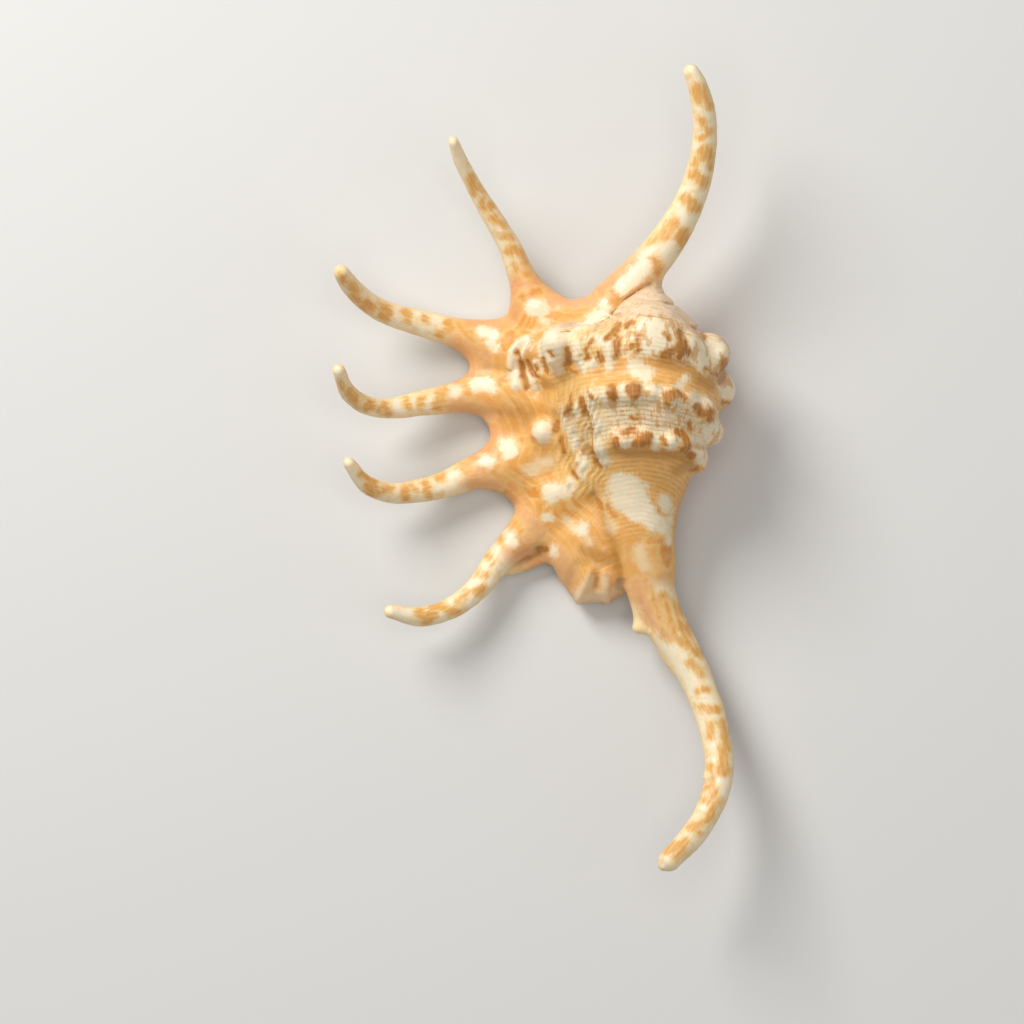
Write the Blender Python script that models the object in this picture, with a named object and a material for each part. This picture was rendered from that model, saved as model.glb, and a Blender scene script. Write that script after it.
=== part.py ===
"""Spider conch shell, modelled as one closed natural solid.

The shell lies with its opening down, as it would on a table. The spire points along +Y, the long siphonal
canal along -Y, the finger-bearing lip along -X, and the knobbed back is up (+Z). Z = 0 is the table. The
origin is under the middle of the shell. Route and section numbers are in millimetres, and MM turns them
into the metres that Blender works in.
"""

import math

import bmesh
import bpy
import numpy as np

MM = 0.001

# The whorls wind round an axis that lies along the shell. Beside the lip the last whorl swells to the left.
# Each row is: Y station, X of the axis, Z of the axis, radius of the whorl, reach of its left side.
WHORL_SECTIONS = [
    (46.8, 29.2, 21.6, 0.4, 0.4),
    (45.2, 29.1, 21.4, 2.2, 2.2),
    (42.8, 28.8, 21.0, 5.0, 5.0),
    (40.4, 28.6, 20.6, 7.6, 7.6),
    (38.4, 28.4, 20.2, 9.8, 10.4),
    (36.4, 28.4, 19.8, 12.0, 13.6),
    (34.6, 28.4, 19.4, 13.8, 18.6),
    (32.8, 28.4, 19.0, 15.0, 23.4),
    (31.0, 28.4, 18.8, 16.0, 25.4),
    (28.0, 28.4, 18.4, 17.2, 25.0),
    (25.0, 28.4, 18.2, 18.2, 24.0),
    (22.0, 28.4, 18.1, 18.8, 23.2),
    (19.0, 28.4, 18.0, 18.8, 22.6),
    (15.0, 28.4, 17.8, 18.1, 21.4),
    (11.0, 28.4, 17.2, 17.0, 19.8),
    (7.0, 28.4, 16.4, 15.4, 17.8),
    (3.0, 28.3, 15.6, 13.4, 15.6),
    (-1.0, 28.2, 14.8, 11.6, 13.4),
    (-5.0, 28.0, 14.2, 9.9, 11.6),
    (-10.0, 27.7, 13.4, 8.5, 9.8),
    (-16.0, 27.6, 12.6, 7.6, 8.4),
    (-24.0, 28.6, 11.4, 6.6, 7.0),
    (-30.0, 30.4, 10.6, 5.4, 5.4),
]
WHORL_SIDES = 96
WHORL_STEP = 0.5

# The suture is the groove where one whorl meets the next. It winds round the spire as a growing spiral.
APEX_Y = 47.0
SUTURE_FROM_APEX = 8.0
WHORL_GROWTH = 2.05
SUTURE_DEPTH = 0.14
SUTURE_WIDTH = 0.12
SUTURE_WHORLS = (-2.4, 0.4)

# Spiral keels over the back of the last whorl. Each row is: Y station, lean from straight up in degrees
# with the right side positive, and the radius of the keel. A keel lies sunk in the whorl.
KEELS = {
    "shoulder keel": [
        (30.8, -66.0, 4.0),
        (30.8, -48.0, 4.6),
        (30.2, -25.0, 5.0),
        (31.2, 5.0, 6.0),
        (30.2, 35.0, 5.2),
        (28.2, 70.0, 4.4),
        (24.0, 100.0, 3.4),
    ],
    "second keel": [
        (16.4, -62.0, 2.6),
        (19.0, -30.0, 3.2),
        (19.8, -5.0, 3.4),
        (18.2, 20.0, 3.4),
        (15.0, 47.0, 3.2),
        (10.0, 85.0, 2.8),
    ],
    "third keel": [
        (6.0, -50.0, 2.2),
        (7.8, -20.0, 3.0),
        (7.8, 10.0, 3.2),
        (6.8, 32.0, 3.0),
        (4.4, 52.0, 2.8),
        (2.0, 88.0, 2.4),
    ],
}
KEEL_SINK_SHARE = 0.62

# Knobs on the keels. Each row is: Y station, lean in degrees, radius, and how deep its middle lies.
KNOBS = [
    (31.2, -64.0, 5.2, 2.0),
    (31.0, -40.0, 4.6, 2.4),
    (32.0, 4.0, 9.6, 4.6),
    (31.0, 30.0, 6.0, 3.0),
    (28.6, 72.0, 5.2, 0.8),
    (19.8, 106.0, 5.2, 0.9),
    (19.2, -27.5, 3.0, 0.8),
    (19.8, -11.8, 3.1, 0.7),
    (19.6, 3.0, 2.6, 0.7),
    (18.2, 16.0, 3.1, 0.7),
    (17.2, 31.0, 2.8, 0.8),
    (14.4, 52.0, 3.4, 0.8),
    (9.4, 88.0, 3.4, 0.9),
    (8.0, -23.0, 2.8, 0.8),
    (8.0, -5.0, 2.6, 0.8),
    (7.2, 22.0, 3.0, 0.8),
    (7.2, 35.0, 2.8, 0.8),
    (4.4, 52.0, 2.8, 0.8),
    (2.2, 88.0, 3.0, 0.8),
]

# Outer margin of the lip: over the bay beside the spire, across the finger roots, round the lobe and into
# the notch beside the canal. Each row is: X, Y, and Z of the middle of the lip there.
LIP_MARGIN = [
    (27.0, 50.0, 18.0),
    (21.5, 46.6, 15.6),
    (16.0, 43.9, 13.0),
    (9.0, 42.6, 10.6),
    (3.0, 44.4, 9.0),
    (-1.5, 46.5, 8.4),
    (-5.0, 43.5, 7.2),
    (-7.2, 38.6, 5.8),
    (-11.5, 36.8, 4.6),
    (-17.0, 35.6, 4.2),
    (-17.8, 31.5, 4.0),
    (-16.4, 27.5, 4.2),
    (-16.3, 23.5, 4.2),
    (-18.2, 20.5, 4.2),
    (-18.0, 16.5, 4.2),
    (-13.8, 13.8, 4.2),
    (-11.0, 9.0, 4.4),
    (-12.4, 4.0, 3.8),
    (-14.6, 0.0, 3.6),
    (-12.0, -4.0, 3.6),
    (-7.5, -6.8, 3.8),
    (-4.0, -10.4, 4.0),
    (-4.4, -14.6, 3.8),
    (-4.6, -19.0, 3.8),
    (-1.0, -20.6, 4.2),
    (1.4, -19.8, 5.0),
    (4.2, -22.4, 5.0),
    (7.6, -28.6, 3.2),
    (10.6, -32.8, 2.3),
    (14.6, -33.2, 2.1),
    (18.6, -32.4, 2.5),
    (22.6, -30.8, 4.6),
    (25.4, -30.4, 6.6),
]
LIP_ROOT_X = 26.5
LIP_ROOT_MIDDLE_Y = 6.0
LIP_ROOT_SQUEEZE = 0.78
LIP_ROOT_DROP = 1.0
LIP_HALF_THICKNESS = 2.7
LIP_CLIMB = 1.35
LIP_SHOULDER_SHARE = 0.78
LIP_SHOULDER_CLIMB = 1.6
LIP_UNDER_THICKENING = 1.1
LIP_STEP = 1.1
LIP_TOP_POINTS = 20
LIP_NOSE_POINTS = 9

# Broad swellings of the lip: the humps where each keel runs out on to the lip, and the dome of the lobe.
# Each row is: X, Y, Z of the middle, radius across, and how far the swelling is flattened.
LIP_SWELLINGS = [
    (-3.2, 29.6, 10.2, 4.4, 0.8),
    (-5.4, 19.4, 8.2, 4.6, 0.7),
    (2.4, 9.6, 13.4, 3.2, 1.0),
    (4.6, -4.6, 8.6, 5.4, 0.7),
    (1.6, 39.4, 9.6, 5.0, 0.7),
    (14.0, -19.0, 6.8, 10.0, 0.55),
    (15.4, -27.0, 5.0, 7.4, 0.6),
]

# Routes of the fingers, of the siphonal canal and of the canal's flap, from the root out to the tip.
# Each row is: X, Y, Z of the middle, and the radius there.
LIMB_ROUTES = {
    "posterior finger": [
        (12.0, 32.0, 15.0, 7.6),
        (18.6, 38.6, 17.0, 7.2),
        (24.4, 45.6, 19.0, 6.0),
        (28.1, 50.4, 19.6, 5.0),
        (33.4, 57.4, 20.8, 4.4),
        (37.9, 65.0, 22.8, 3.8),
        (41.0, 73.5, 25.6, 3.4),
        (42.4, 82.0, 28.6, 3.05),
        (42.0, 90.0, 31.6, 2.8),
        (40.3, 96.0, 33.8, 2.45),
        (38.8, 99.4, 35.0, 2.0),
    ],
    "second finger": [
        (6.0, 30.0, 9.0, 6.0),
        (0.8, 39.5, 7.6, 5.0),
        (-3.2, 48.6, 8.8, 3.5),
        (-6.8, 57.0, 11.4, 2.8),
        (-11.8, 65.2, 15.0, 2.3),
        (-15.6, 71.6, 19.0, 2.0),
        (-18.4, 77.0, 23.6, 1.7),
        (-20.4, 82.0, 28.6, 1.3),
    ],
    "third finger": [
        (4.0, 27.5, 8.4, 6.4),
        (-3.0, 29.6, 6.6, 6.2),
        (-10.5, 31.6, 4.8, 5.3),
        (-19.9, 34.3, 5.6, 3.9),
        (-28.1, 36.5, 7.8, 3.3),
        (-36.4, 38.9, 11.4, 2.8),
        (-42.0, 42.0, 16.2, 2.7),
        (-46.2, 45.8, 22.4, 2.4),
        (-49.0, 49.4, 28.6, 1.9),
    ],
    "fourth finger": [
        (4.0, 21.6, 9.0, 6.4),
        (-3.0, 21.0, 6.4, 5.9),
        (-10.0, 19.8, 4.5, 5.0),
        (-20.4, 18.0, 5.6, 3.8),
        (-28.0, 16.6, 8.2, 3.2),
        (-36.8, 15.2, 12.2, 2.6),
        (-43.2, 16.4, 17.4, 2.3),
        (-47.2, 19.6, 23.4, 2.0),
        (-49.8, 24.4, 29.6, 1.4),
    ],
    "fifth finger": [
        (10.0, 8.0, 10.0, 6.4),
        (1.0, 4.6, 6.8, 6.0),
        (-8.0, 1.4, 4.6, 5.2),
        (-15.2, -0.9, 4.6, 4.2),
        (-23.1, -4.0, 6.2, 3.4),
        (-30.0, -5.6, 8.8, 2.85),
        (-36.4, -5.9, 12.2, 2.5),
        (-42.2, -3.6, 16.8, 2.2),
        (-46.4, 1.6, 22.6, 1.4),
    ],
    "sixth finger": [
        (14.0, 0.0, 10.0, 6.6),
        (6.0, -8.0, 6.6, 6.0),
        (-0.4, -14.0, 4.7, 5.2),
        (-5.6, -19.2, 4.6, 4.2),
        (-10.0, -24.0, 5.4, 3.5),
        (-14.6, -30.2, 7.0, 3.05),
        (-20.8, -34.8, 9.0, 2.75),
        (-28.4, -37.0, 12.0, 2.45),
        (-36.0, -35.7, 16.0, 1.8),
    ],
    "siphonal canal": [
        (27.4, -14.0, 12.4, 7.6),
        (28.6, -24.0, 11.0, 7.0),
        (30.8, -32.8, 10.2, 6.0),
        (34.6, -40.4, 9.8, 5.3),
        (37.6, -46.2, 9.8, 4.7),
        (41.4, -54.4, 10.4, 4.05),
        (44.6, -64.0, 12.2, 3.8),
        (46.2, -72.6, 14.6, 3.65),
        (45.7, -80.0, 17.6, 3.5),
        (42.7, -87.0, 20.8, 3.2),
        (38.4, -93.0, 24.0, 3.0),
        (33.4, -98.6, 27.2, 2.6),
    ],
    "canal flap": [
        (27.2, -26.0, 9.0, 3.2),
        (26.8, -32.0, 8.6, 2.2),
        (26.7, -36.0, 8.6, 2.0),
        (26.5, -39.2, 8.6, 1.9),
    ],
    "canal flap edge": [
        (26.9, -39.2, 8.6, 1.9),
        (30.0, -39.6, 8.8, 2.2),
        (33.0, -42.4, 9.2, 2.4),
    ],
    "spire web": [
        (28.6, 47.6, 19.6, 2.4),
        (30.0, 45.0, 19.6, 1.9),
        (30.2, 42.6, 19.6, 1.9),
    ],
}
LIMB_SIDES_LEVEL = 4
LIMB_STEP = 1.6

# Hollow of the last whorl. It opens downwards as a long slit between the columella and the outer lip.
# Each row is: Y station, X of the slit, half width of the slit, and how thick the columella is.
APERTURE_SECTIONS = [
    (35.6, 19.4, 1.2, 3.2),
    (32.0, 18.4, 2.4, 4.0),
    (26.0, 16.6, 3.4, 5.2),
    (19.0, 15.8, 3.9, 5.8),
    (11.0, 16.2, 3.9, 5.6),
    (4.0, 17.8, 3.5, 4.6),
    (-2.0, 20.0, 3.0, 3.6),
    (-7.0, 22.0, 2.6, 2.8),
]
SHELL_WALL = 3.6
APERTURE_STEP = 1.0
APERTURE_MOUTH_Z = -2.0
APERTURE_BEND_SHARE = 0.45
APERTURE_END_DEGREES = 25
APERTURE_ARC_POINTS = 14
APERTURE_TAPER = 0.55

# Open groove that runs on from the slit along the underside of the canal to its tip.
# Each row is: X, Y, Z of the middle, and the radius there.
CANAL_GROOVE = [
    (20.2, -1.0, 6.0, 3.0),
    (22.6, -8.4, 5.4, 2.8),
    (25.4, -16.0, 5.0, 2.6),
    (28.0, -24.0, 5.0, 2.3),
    (30.8, -32.8, 5.0, 2.1),
    (34.6, -40.4, 5.2, 1.9),
    (37.6, -46.2, 5.7, 1.8),
    (41.4, -54.4, 6.8, 1.6),
    (44.6, -64.0, 8.5, 1.5),
    (46.2, -72.6, 11.0, 1.45),
    (45.7, -80.0, 14.2, 1.4),
    (42.7, -87.0, 17.7, 1.3),
    (38.4, -93.0, 21.1, 1.2),
    (33.6, -98.0, 24.5, 1.1),
]

JOIN_VOXEL = 0.9
JOIN_SMOOTHING = 6
CUT_SMOOTHING = 2
SOLID_TRIANGLES = 9300
TABLE_CUTTER_SIZE = (0.3, 0.4, 0.05)
SHELL_COLOUR = (0.80, 0.56, 0.30, 1.0)
SHELL_ROUGHNESS = 0.45


def clear_scene():
    """Remove what the scene holds."""
    for thing in list(bpy.data.objects):
        bpy.data.objects.remove(thing)


def resampled(rows, step):
    """Catmull-Rom curve through the rows, sampled about every step millimetres of its first three columns."""
    rows = np.asarray(rows, float)
    before = 2 * rows[0] - rows[1]
    after = 2 * rows[-1] - rows[-2]
    knots = np.vstack([before, rows, after])
    pieces = []
    for first in range(1, len(knots) - 2):
        a, b, c, d = knots[first - 1 : first + 3]
        count = max(2, math.ceil(np.linalg.norm((c - b)[:3]) / step))
        t = np.linspace(0.0, 1.0, count, endpoint=False)[:, None]
        pieces.append(
            0.5 * (2 * b + (c - a) * t + (2 * a - 5 * b + 4 * c - d) * t**2 + (3 * b - a - 3 * c + d) * t**3)
        )
    return np.vstack(pieces + [rows[-1:]])


def stations(rows, step):
    """Rows of a section table interpolated at an even spacing of their first column, highest first."""
    rows = np.asarray(rows, float)
    count = max(3, math.ceil((rows[0, 0] - rows[-1, 0]) / step) + 1)
    fine = resampled(rows, step / 3)
    places = np.linspace(rows[0, 0], rows[-1, 0], count)
    columns = [np.interp(-places, -fine[:, 0], fine[:, k]) for k in range(1, rows.shape[1])]
    return np.column_stack([places] + columns)


def whorl_at(y):
    """X and Z of the axis, radius, and reach to the left, of the whorl at one Y station."""
    table = np.asarray(WHORL_SECTIONS)
    return [float(np.interp(-y, -table[:, 0], table[:, k])) for k in (1, 2, 3, 4)]


def point_on_whorl(y, lean, sink):
    """Point on the whorl at a lean from straight up, moved sink millimetres in towards the axis."""
    axis_x, axis_z, radius, reach = whorl_at(y)
    across = reach if lean < 0 else radius
    turn = math.radians(lean)
    return (axis_x + (across - sink) * math.sin(turn), y, axis_z + (radius - sink) * math.cos(turn))


def mesh_object(name, build):
    """A new mesh object whose bmesh is filled by build(bm)."""
    bm = bmesh.new()
    build(bm)
    bmesh.ops.recalc_face_normals(bm, faces=bm.faces)
    mesh = bpy.data.meshes.new(name)
    bm.to_mesh(mesh)
    bm.free()
    thing = bpy.data.objects.new(name, mesh)
    bpy.context.scene.collection.objects.link(thing)
    return thing


def loft(name, rings):
    """Closed skin through a row of rings with equal point counts, in millimetres, with flat end caps."""

    def build(bm):
        loops = [[bm.verts.new(np.asarray(point) * MM) for point in ring] for ring in rings]
        for ring, following in zip(loops, loops[1:]):
            for k in range(len(ring)):
                nxt = (k + 1) % len(ring)
                bm.faces.new((ring[k], ring[nxt], following[nxt], following[k]))
        bm.faces.new(loops[0])
        bm.faces.new(loops[-1][::-1])

    return mesh_object(name, build)


def as_mesh(thing):
    """Replace an object by a mesh object of what the viewport evaluates, modifiers applied."""
    graph = bpy.context.evaluated_depsgraph_get()
    name = thing.name
    mesh = bpy.data.meshes.new_from_object(thing.evaluated_get(graph))
    bpy.data.objects.remove(thing)
    made = bpy.data.objects.new(name, mesh)
    bpy.context.scene.collection.objects.link(made)
    return made


def tube(name, rows):
    """Round limb along a route of X, Y, Z, radius rows, made from a bevelled curve with filled caps."""
    points = resampled(rows, LIMB_STEP)
    curve = bpy.data.curves.new(name, "CURVE")
    curve.dimensions = "3D"
    curve.bevel_depth = MM
    curve.bevel_resolution = LIMB_SIDES_LEVEL
    curve.use_fill_caps = True
    spline = curve.splines.new("POLY")
    spline.points.add(len(points) - 1)
    for spot, (x, y, z, radius) in zip(spline.points, points):
        spot.co = (x * MM, y * MM, z * MM, 1.0)
        spot.radius = radius
    thing = bpy.data.objects.new(name, curve)
    bpy.context.scene.collection.objects.link(thing)
    return as_mesh(thing)


def ball(name, x, y, z, radius, flattening=1.0):
    """Round knob or limb end. A flattening below one makes it lower than it is wide."""

    def build(bm):
        bmesh.ops.create_icosphere(bm, subdivisions=3, radius=radius * MM)
        bmesh.ops.scale(bm, verts=bm.verts, vec=(1.0, 1.0, flattening))
        bmesh.ops.translate(bm, verts=bm.verts, vec=(x * MM, y * MM, z * MM))

    return mesh_object(name, build)


def limb(name, rows):
    """Tube with a ball at each end, so that both ends are round."""
    return [tube(name, rows), ball(name + " root", *rows[0]), ball(name + " tip", *rows[-1])]


def joined(name, things):
    """All the meshes in one object, still overlapping."""

    def build(bm):
        for thing in things:
            bm.from_mesh(thing.data)

    whole = mesh_object(name, build)
    for thing in things:
        bpy.data.objects.remove(thing)
    return whole


def with_modifier(thing, kind, **settings):
    """Add one modifier, apply it and return the new mesh object."""
    modifier = thing.modifiers.new(kind.lower(), kind)
    for key, value in settings.items():
        setattr(modifier, key, value)
    return as_mesh(thing)


def whorl():
    """Spire and last whorl: sections along the axis, with the suture as a groove that winds round the spire."""
    turn = np.linspace(0.0, 2 * math.pi, WHORL_SIDES, endpoint=False)
    rings = []
    for y, x, z, radius, reach in stations(WHORL_SECTIONS, WHORL_STEP):
        from_apex = max(APEX_Y - y, 0.1)
        whorls_down = math.log(from_apex / SUTURE_FROM_APEX) / math.log(WHORL_GROWTH) - turn / (2 * math.pi)
        beside = whorls_down - np.round(whorls_down)
        on_spire = SUTURE_WHORLS[0] < math.log(from_apex / SUTURE_FROM_APEX) < SUTURE_WHORLS[1]
        groove = 1.0 - on_spire * SUTURE_DEPTH * np.exp(-((beside / SUTURE_WIDTH) ** 2))
        across = np.where(np.cos(turn) < 0, reach, radius)
        rings.append(
            np.column_stack(
                [x + across * groove * np.cos(turn), np.full(WHORL_SIDES, y), z + radius * groove * np.sin(turn)]
            )
        )
    return loft("whorl", rings)


def keels_and_knobs():
    """The three spiral keels, sunk in the whorl, and the blunt knobs that sit on them."""
    things = []
    for name, rows in KEELS.items():
        route = [(*point_on_whorl(y, lean, KEEL_SINK_SHARE * size), size) for y, lean, size in rows]
        things += limb(name, route)
    for number, (y, lean, size, sink) in enumerate(KNOBS):
        things.append(ball(f"knob {number}", *point_on_whorl(y, lean, sink), size))
    return things


def outer_lip():
    """Flared lip: a fan of sections that run from the margin in to the whorl, each with a rounded free edge."""
    along = np.linspace(0.0, 1.0, LIP_TOP_POINTS)
    bend = np.linspace(-math.pi / 2, -3 * math.pi / 2, LIP_NOSE_POINTS)[1:-1]
    half = LIP_HALF_THICKNESS
    rings = []
    for x, y, z in resampled(LIP_MARGIN, LIP_STEP):
        root_y = LIP_ROOT_MIDDLE_Y + (y - LIP_ROOT_MIDDLE_Y) * LIP_ROOT_SQUEEZE
        _axis_x, axis_z, radius, _reach = whorl_at(root_y)
        inward = np.array([LIP_ROOT_X - x, root_y - y])
        length = np.linalg.norm(inward)
        inward /= length
        reach = half + (length - half) * along
        middle = z + (axis_z - LIP_ROOT_DROP - z) * along**LIP_CLIMB
        shoulder = LIP_SHOULDER_SHARE * radius * along**LIP_SHOULDER_CLIMB
        upper = np.column_stack([reach, middle + half + shoulder])
        lower = np.column_stack([reach, middle - half * (1 + LIP_UNDER_THICKENING * along)])
        nose = np.column_stack([half + half * np.cos(bend), middle[0] + half * np.sin(bend)])
        outline = np.vstack([upper, lower[::-1], nose])
        rings.append(
            np.column_stack([x + inward[0] * outline[:, 0], y + inward[1] * outline[:, 0], outline[:, 1]])
        )
    return loft("outer lip", rings)


def aperture_cutter():
    """Hollow of the last whorl: a slit from below that bends up and over the columella."""
    turn = np.linspace(math.pi, math.radians(APERTURE_END_DEGREES), APERTURE_ARC_POINTS)
    taper = np.linspace(1.0, APERTURE_TAPER, APERTURE_ARC_POINTS)
    rings = []
    for y, slit_x, half_width, columella in stations(APERTURE_SECTIONS, APERTURE_STEP):
        axis_x, axis_z, radius, _reach = whorl_at(y)
        outer = max(radius - SHELL_WALL, columella + 1.0)
        middle = (outer + columella) / 2
        route = np.column_stack(
            [
                np.concatenate([[slit_x, slit_x], axis_x + middle * np.cos(turn)]),
                np.concatenate([[APERTURE_MOUTH_Z, axis_z * APERTURE_BEND_SHARE], axis_z + middle * np.sin(turn)]),
            ]
        )
        half = np.concatenate([[half_width, half_width], (outer - columella) / 2 * taper])[:, None]
        slope = np.gradient(route, axis=0)
        slope /= np.linalg.norm(slope, axis=1)[:, None]
        side = np.column_stack([-slope[:, 1], slope[:, 0]])
        outline = np.vstack([route + side * half, (route - side * half)[::-1]])
        rings.append(np.column_stack([outline[:, 0], np.full(len(outline), y), outline[:, 1]]))
    return loft("aperture cutter", rings)


def table_cutter():
    """Block under the table plane, which leaves small worn flats where the shell rests."""

    def build(bm):
        bmesh.ops.create_cube(bm, size=1.0)
        bmesh.ops.scale(bm, verts=bm.verts, vec=TABLE_CUTTER_SIZE)
        bmesh.ops.translate(bm, verts=bm.verts, vec=(0.0, 0.0, -TABLE_CUTTER_SIZE[2] / 2))

    return mesh_object("table cutter", build)


def cut(thing, cutter):
    """Take the cutter away from the thing."""
    thing = with_modifier(thing, "BOOLEAN", operation="DIFFERENCE", object=cutter, solver="EXACT")
    bpy.data.objects.remove(cutter)
    return thing


def fused(thing, smoothing):
    """One skin round everything that overlaps, with its creases softened."""
    thing = with_modifier(thing, "REMESH", mode="VOXEL", voxel_size=JOIN_VOXEL * MM)
    return with_modifier(thing, "SMOOTH", factor=0.5, iterations=smoothing)


def shell_material():
    """Cream and orange porcelain-like shell."""
    material = bpy.data.materials.new("shell")
    material.use_nodes = True
    surface = material.node_tree.nodes["Principled BSDF"]
    surface.inputs["Base Color"].default_value = SHELL_COLOUR
    surface.inputs["Roughness"].default_value = SHELL_ROUGHNESS
    surface.inputs["Metallic"].default_value = 0.0
    return material


def build_shell():
    """Grow the limbs and knobs out of the whorl and lip, hollow it, and rest it on the table."""
    things = [whorl(), outer_lip()] + keels_and_knobs()
    for name, rows in LIMB_ROUTES.items():
        things += limb(name, rows)
    things += [ball(f"swelling {k}", *row) for k, row in enumerate(LIP_SWELLINGS)]
    shell = fused(joined("shell", things), JOIN_SMOOTHING)
    shell = cut(shell, aperture_cutter())
    shell = cut(shell, tube("canal groove cutter", CANAL_GROOVE))
    shell = fused(shell, CUT_SMOOTHING)
    triangles = sum(len(face.vertices) - 2 for face in shell.data.polygons)
    shell = with_modifier(shell, "DECIMATE", ratio=SOLID_TRIANGLES / triangles)
    shell = cut(shell, table_cutter())
    shell.name = "shell"
    shell.data.materials.append(shell_material())
    shell.data.shade_smooth()
    return shell


clear_scene()
build_shell()
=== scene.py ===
# %% [markdown]
# # A spider conch shell
# A spider conch grows a plain coiled shell first. When it is full grown it adds a broad lip, and the lip
# puts out long curved fingers. Here it lies on its opening with its knobbed back up, about 202 mm long.
# The frame holds one plain solid, "shell". This lesson grows a finer skin of the same form in its place.

# %% Load the fixed frame
import math

import bpy
import numpy as np
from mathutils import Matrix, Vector


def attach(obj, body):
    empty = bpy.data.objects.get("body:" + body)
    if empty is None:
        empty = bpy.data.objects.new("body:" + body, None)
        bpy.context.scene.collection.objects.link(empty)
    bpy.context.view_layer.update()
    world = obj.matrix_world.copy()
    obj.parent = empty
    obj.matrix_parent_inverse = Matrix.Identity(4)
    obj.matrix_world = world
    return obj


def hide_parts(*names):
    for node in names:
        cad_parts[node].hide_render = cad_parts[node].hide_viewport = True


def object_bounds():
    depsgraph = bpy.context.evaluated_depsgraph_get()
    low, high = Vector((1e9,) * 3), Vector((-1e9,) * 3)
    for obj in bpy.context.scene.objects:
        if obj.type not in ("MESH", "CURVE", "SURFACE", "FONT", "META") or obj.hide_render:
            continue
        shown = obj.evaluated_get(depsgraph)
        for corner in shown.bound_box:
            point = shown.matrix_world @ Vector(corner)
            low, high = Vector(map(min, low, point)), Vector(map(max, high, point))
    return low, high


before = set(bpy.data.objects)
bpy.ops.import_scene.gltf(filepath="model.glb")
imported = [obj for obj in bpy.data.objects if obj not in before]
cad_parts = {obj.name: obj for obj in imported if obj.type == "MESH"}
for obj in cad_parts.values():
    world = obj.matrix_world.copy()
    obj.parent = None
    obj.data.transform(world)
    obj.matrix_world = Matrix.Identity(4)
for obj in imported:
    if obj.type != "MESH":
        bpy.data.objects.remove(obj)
cad_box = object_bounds()
print("frame box in mm:", [[round(1000 * value, 2) for value in corner] for corner in cad_box])

# %% [markdown]
# ## Fields
# A branching shell has no single grid of two parameters, because fingers, whorl and lip all run into each
# other with soft fillets. So each part is written as a field: a number for every point of space, which is
# about the distance to that part's skin in millimetres and negative inside it. A round profile carried along
# a path gives the fingers, a radius that depends on two parameters gives the whorl, and two heights over the
# plan give the lip. A smooth minimum joins two fields with a fillet, which a plain union can't do.
# Lengths below are in millimetres, and MM turns them into metres at the end.

# %% Curves through a few rows, and fields that join
MM = 0.001
FAR = 9.0


def curve_through(rows, step):
    """Catmull-Rom curve through the rows: each stretch is the cubic whose slope at a row is half the way
    from the row before to the row after. It has a point about every step millimetres."""
    rows = np.asarray(rows, float)
    knots = np.vstack([2 * rows[0] - rows[1], rows, 2 * rows[-1] - rows[-2]])
    stretches = []
    for first in range(1, len(knots) - 2):
        a, b, c, d = knots[first - 1 : first + 3]
        count = max(2, math.ceil(np.linalg.norm((c - b)[:3]) / step))
        t = np.linspace(0.0, 1.0, count, endpoint=False)[:, None]
        bend = 2 * a - 5 * b + 4 * c - d
        stretches.append(0.5 * (2 * b + (c - a) * t + bend * t**2 + (3 * b - a - 3 * c + d) * t**3))
    return np.vstack(stretches + [rows[-1:]])


def smooth_min(a, b, fillet):
    """The smaller of two fields, less h * h * fillet / 4 where they are within a fillet of each other,
    with h = 1 - |a - b| / fillet."""
    h = np.maximum(fillet - np.abs(a - b), 0.0) / fillet
    return np.minimum(a, b) - h * h * fillet / 4


def smooth_max(a, b, fillet):
    """The larger of two fields with the same rounding, used to cut one shape from another."""
    return -smooth_min(-a, -b, fillet)


def smooth_step(values, low, high):
    """0 below low, 1 above high, and 3 t^2 - 2 t^3 between them."""
    t = np.clip((values - low) / (high - low), 0.0, 1.0)
    return t * t * (3 - 2 * t)


def between(values, rise, fall):
    """Up from 0 to 1 between the two values of rise, and down again between those of fall."""
    return smooth_step(values, *rise) * (1 - smooth_step(values, *fall))


def near(points, rows, reach):
    """Numbers of the points in the box round a route, grown by its radius and by reach millimetres."""
    low = (rows[:, :3] - rows[:, 3:4]).min(0) - reach
    high = (rows[:, :3] + rows[:, 3:4]).max(0) + reach
    return np.flatnonzero(((points > low) & (points < high)).all(1))


def chain_field(points, rows):
    """Distance to a round profile carried along a path of X, Y, Z, radius rows: the least over its stretches
    of the distance to the stretch, less the radius there."""
    best = np.full(len(points), FAR)
    for start, end in zip(rows[:-1], rows[1:]):
        line = end[:3] - start[:3]
        offset = points - start[:3]
        share = np.clip(offset @ line / (line @ line), 0.0, 1.0)
        offset -= share[:, None] * line
        distance = np.sqrt((offset * offset).sum(1)) - start[3] - share * (end[3] - start[3])
        np.minimum(best, distance, out=best)
    return best


def soft_noise(points, size, seed):
    """Smooth bumps about size millimetres apart, from -1 to 1: random values on a lattice, blended between
    lattice points with 3 t^2 - 2 t^3 in each direction."""
    lattice = np.random.default_rng(seed).uniform(-1.0, 1.0, (32, 32, 32))
    cell = points / size
    corner = np.floor(cell).astype(int)
    t = cell - corner
    t = t * t * (3 - 2 * t)
    total = np.zeros(len(points))
    for step in np.ndindex(2, 2, 2):
        weight = np.where(step, t, 1 - t).prod(1)
        total += weight * lattice[tuple(((corner + step) % 32).T)]
    return total


# %% [markdown]
# ## The coiled whorls
# The whorls are a tube that winds round an axis and grows as it goes. On the back only the last whorl and a
# short spire show, so a turned form is enough. At each station along the axis it has a radius to the right
# and a longer reach to the left, where the whorl swells towards the lip. The groove between two whorls is
# the suture. Its distance from the apex grows by the same factor each turn, so it is a logarithmic spiral.

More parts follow.
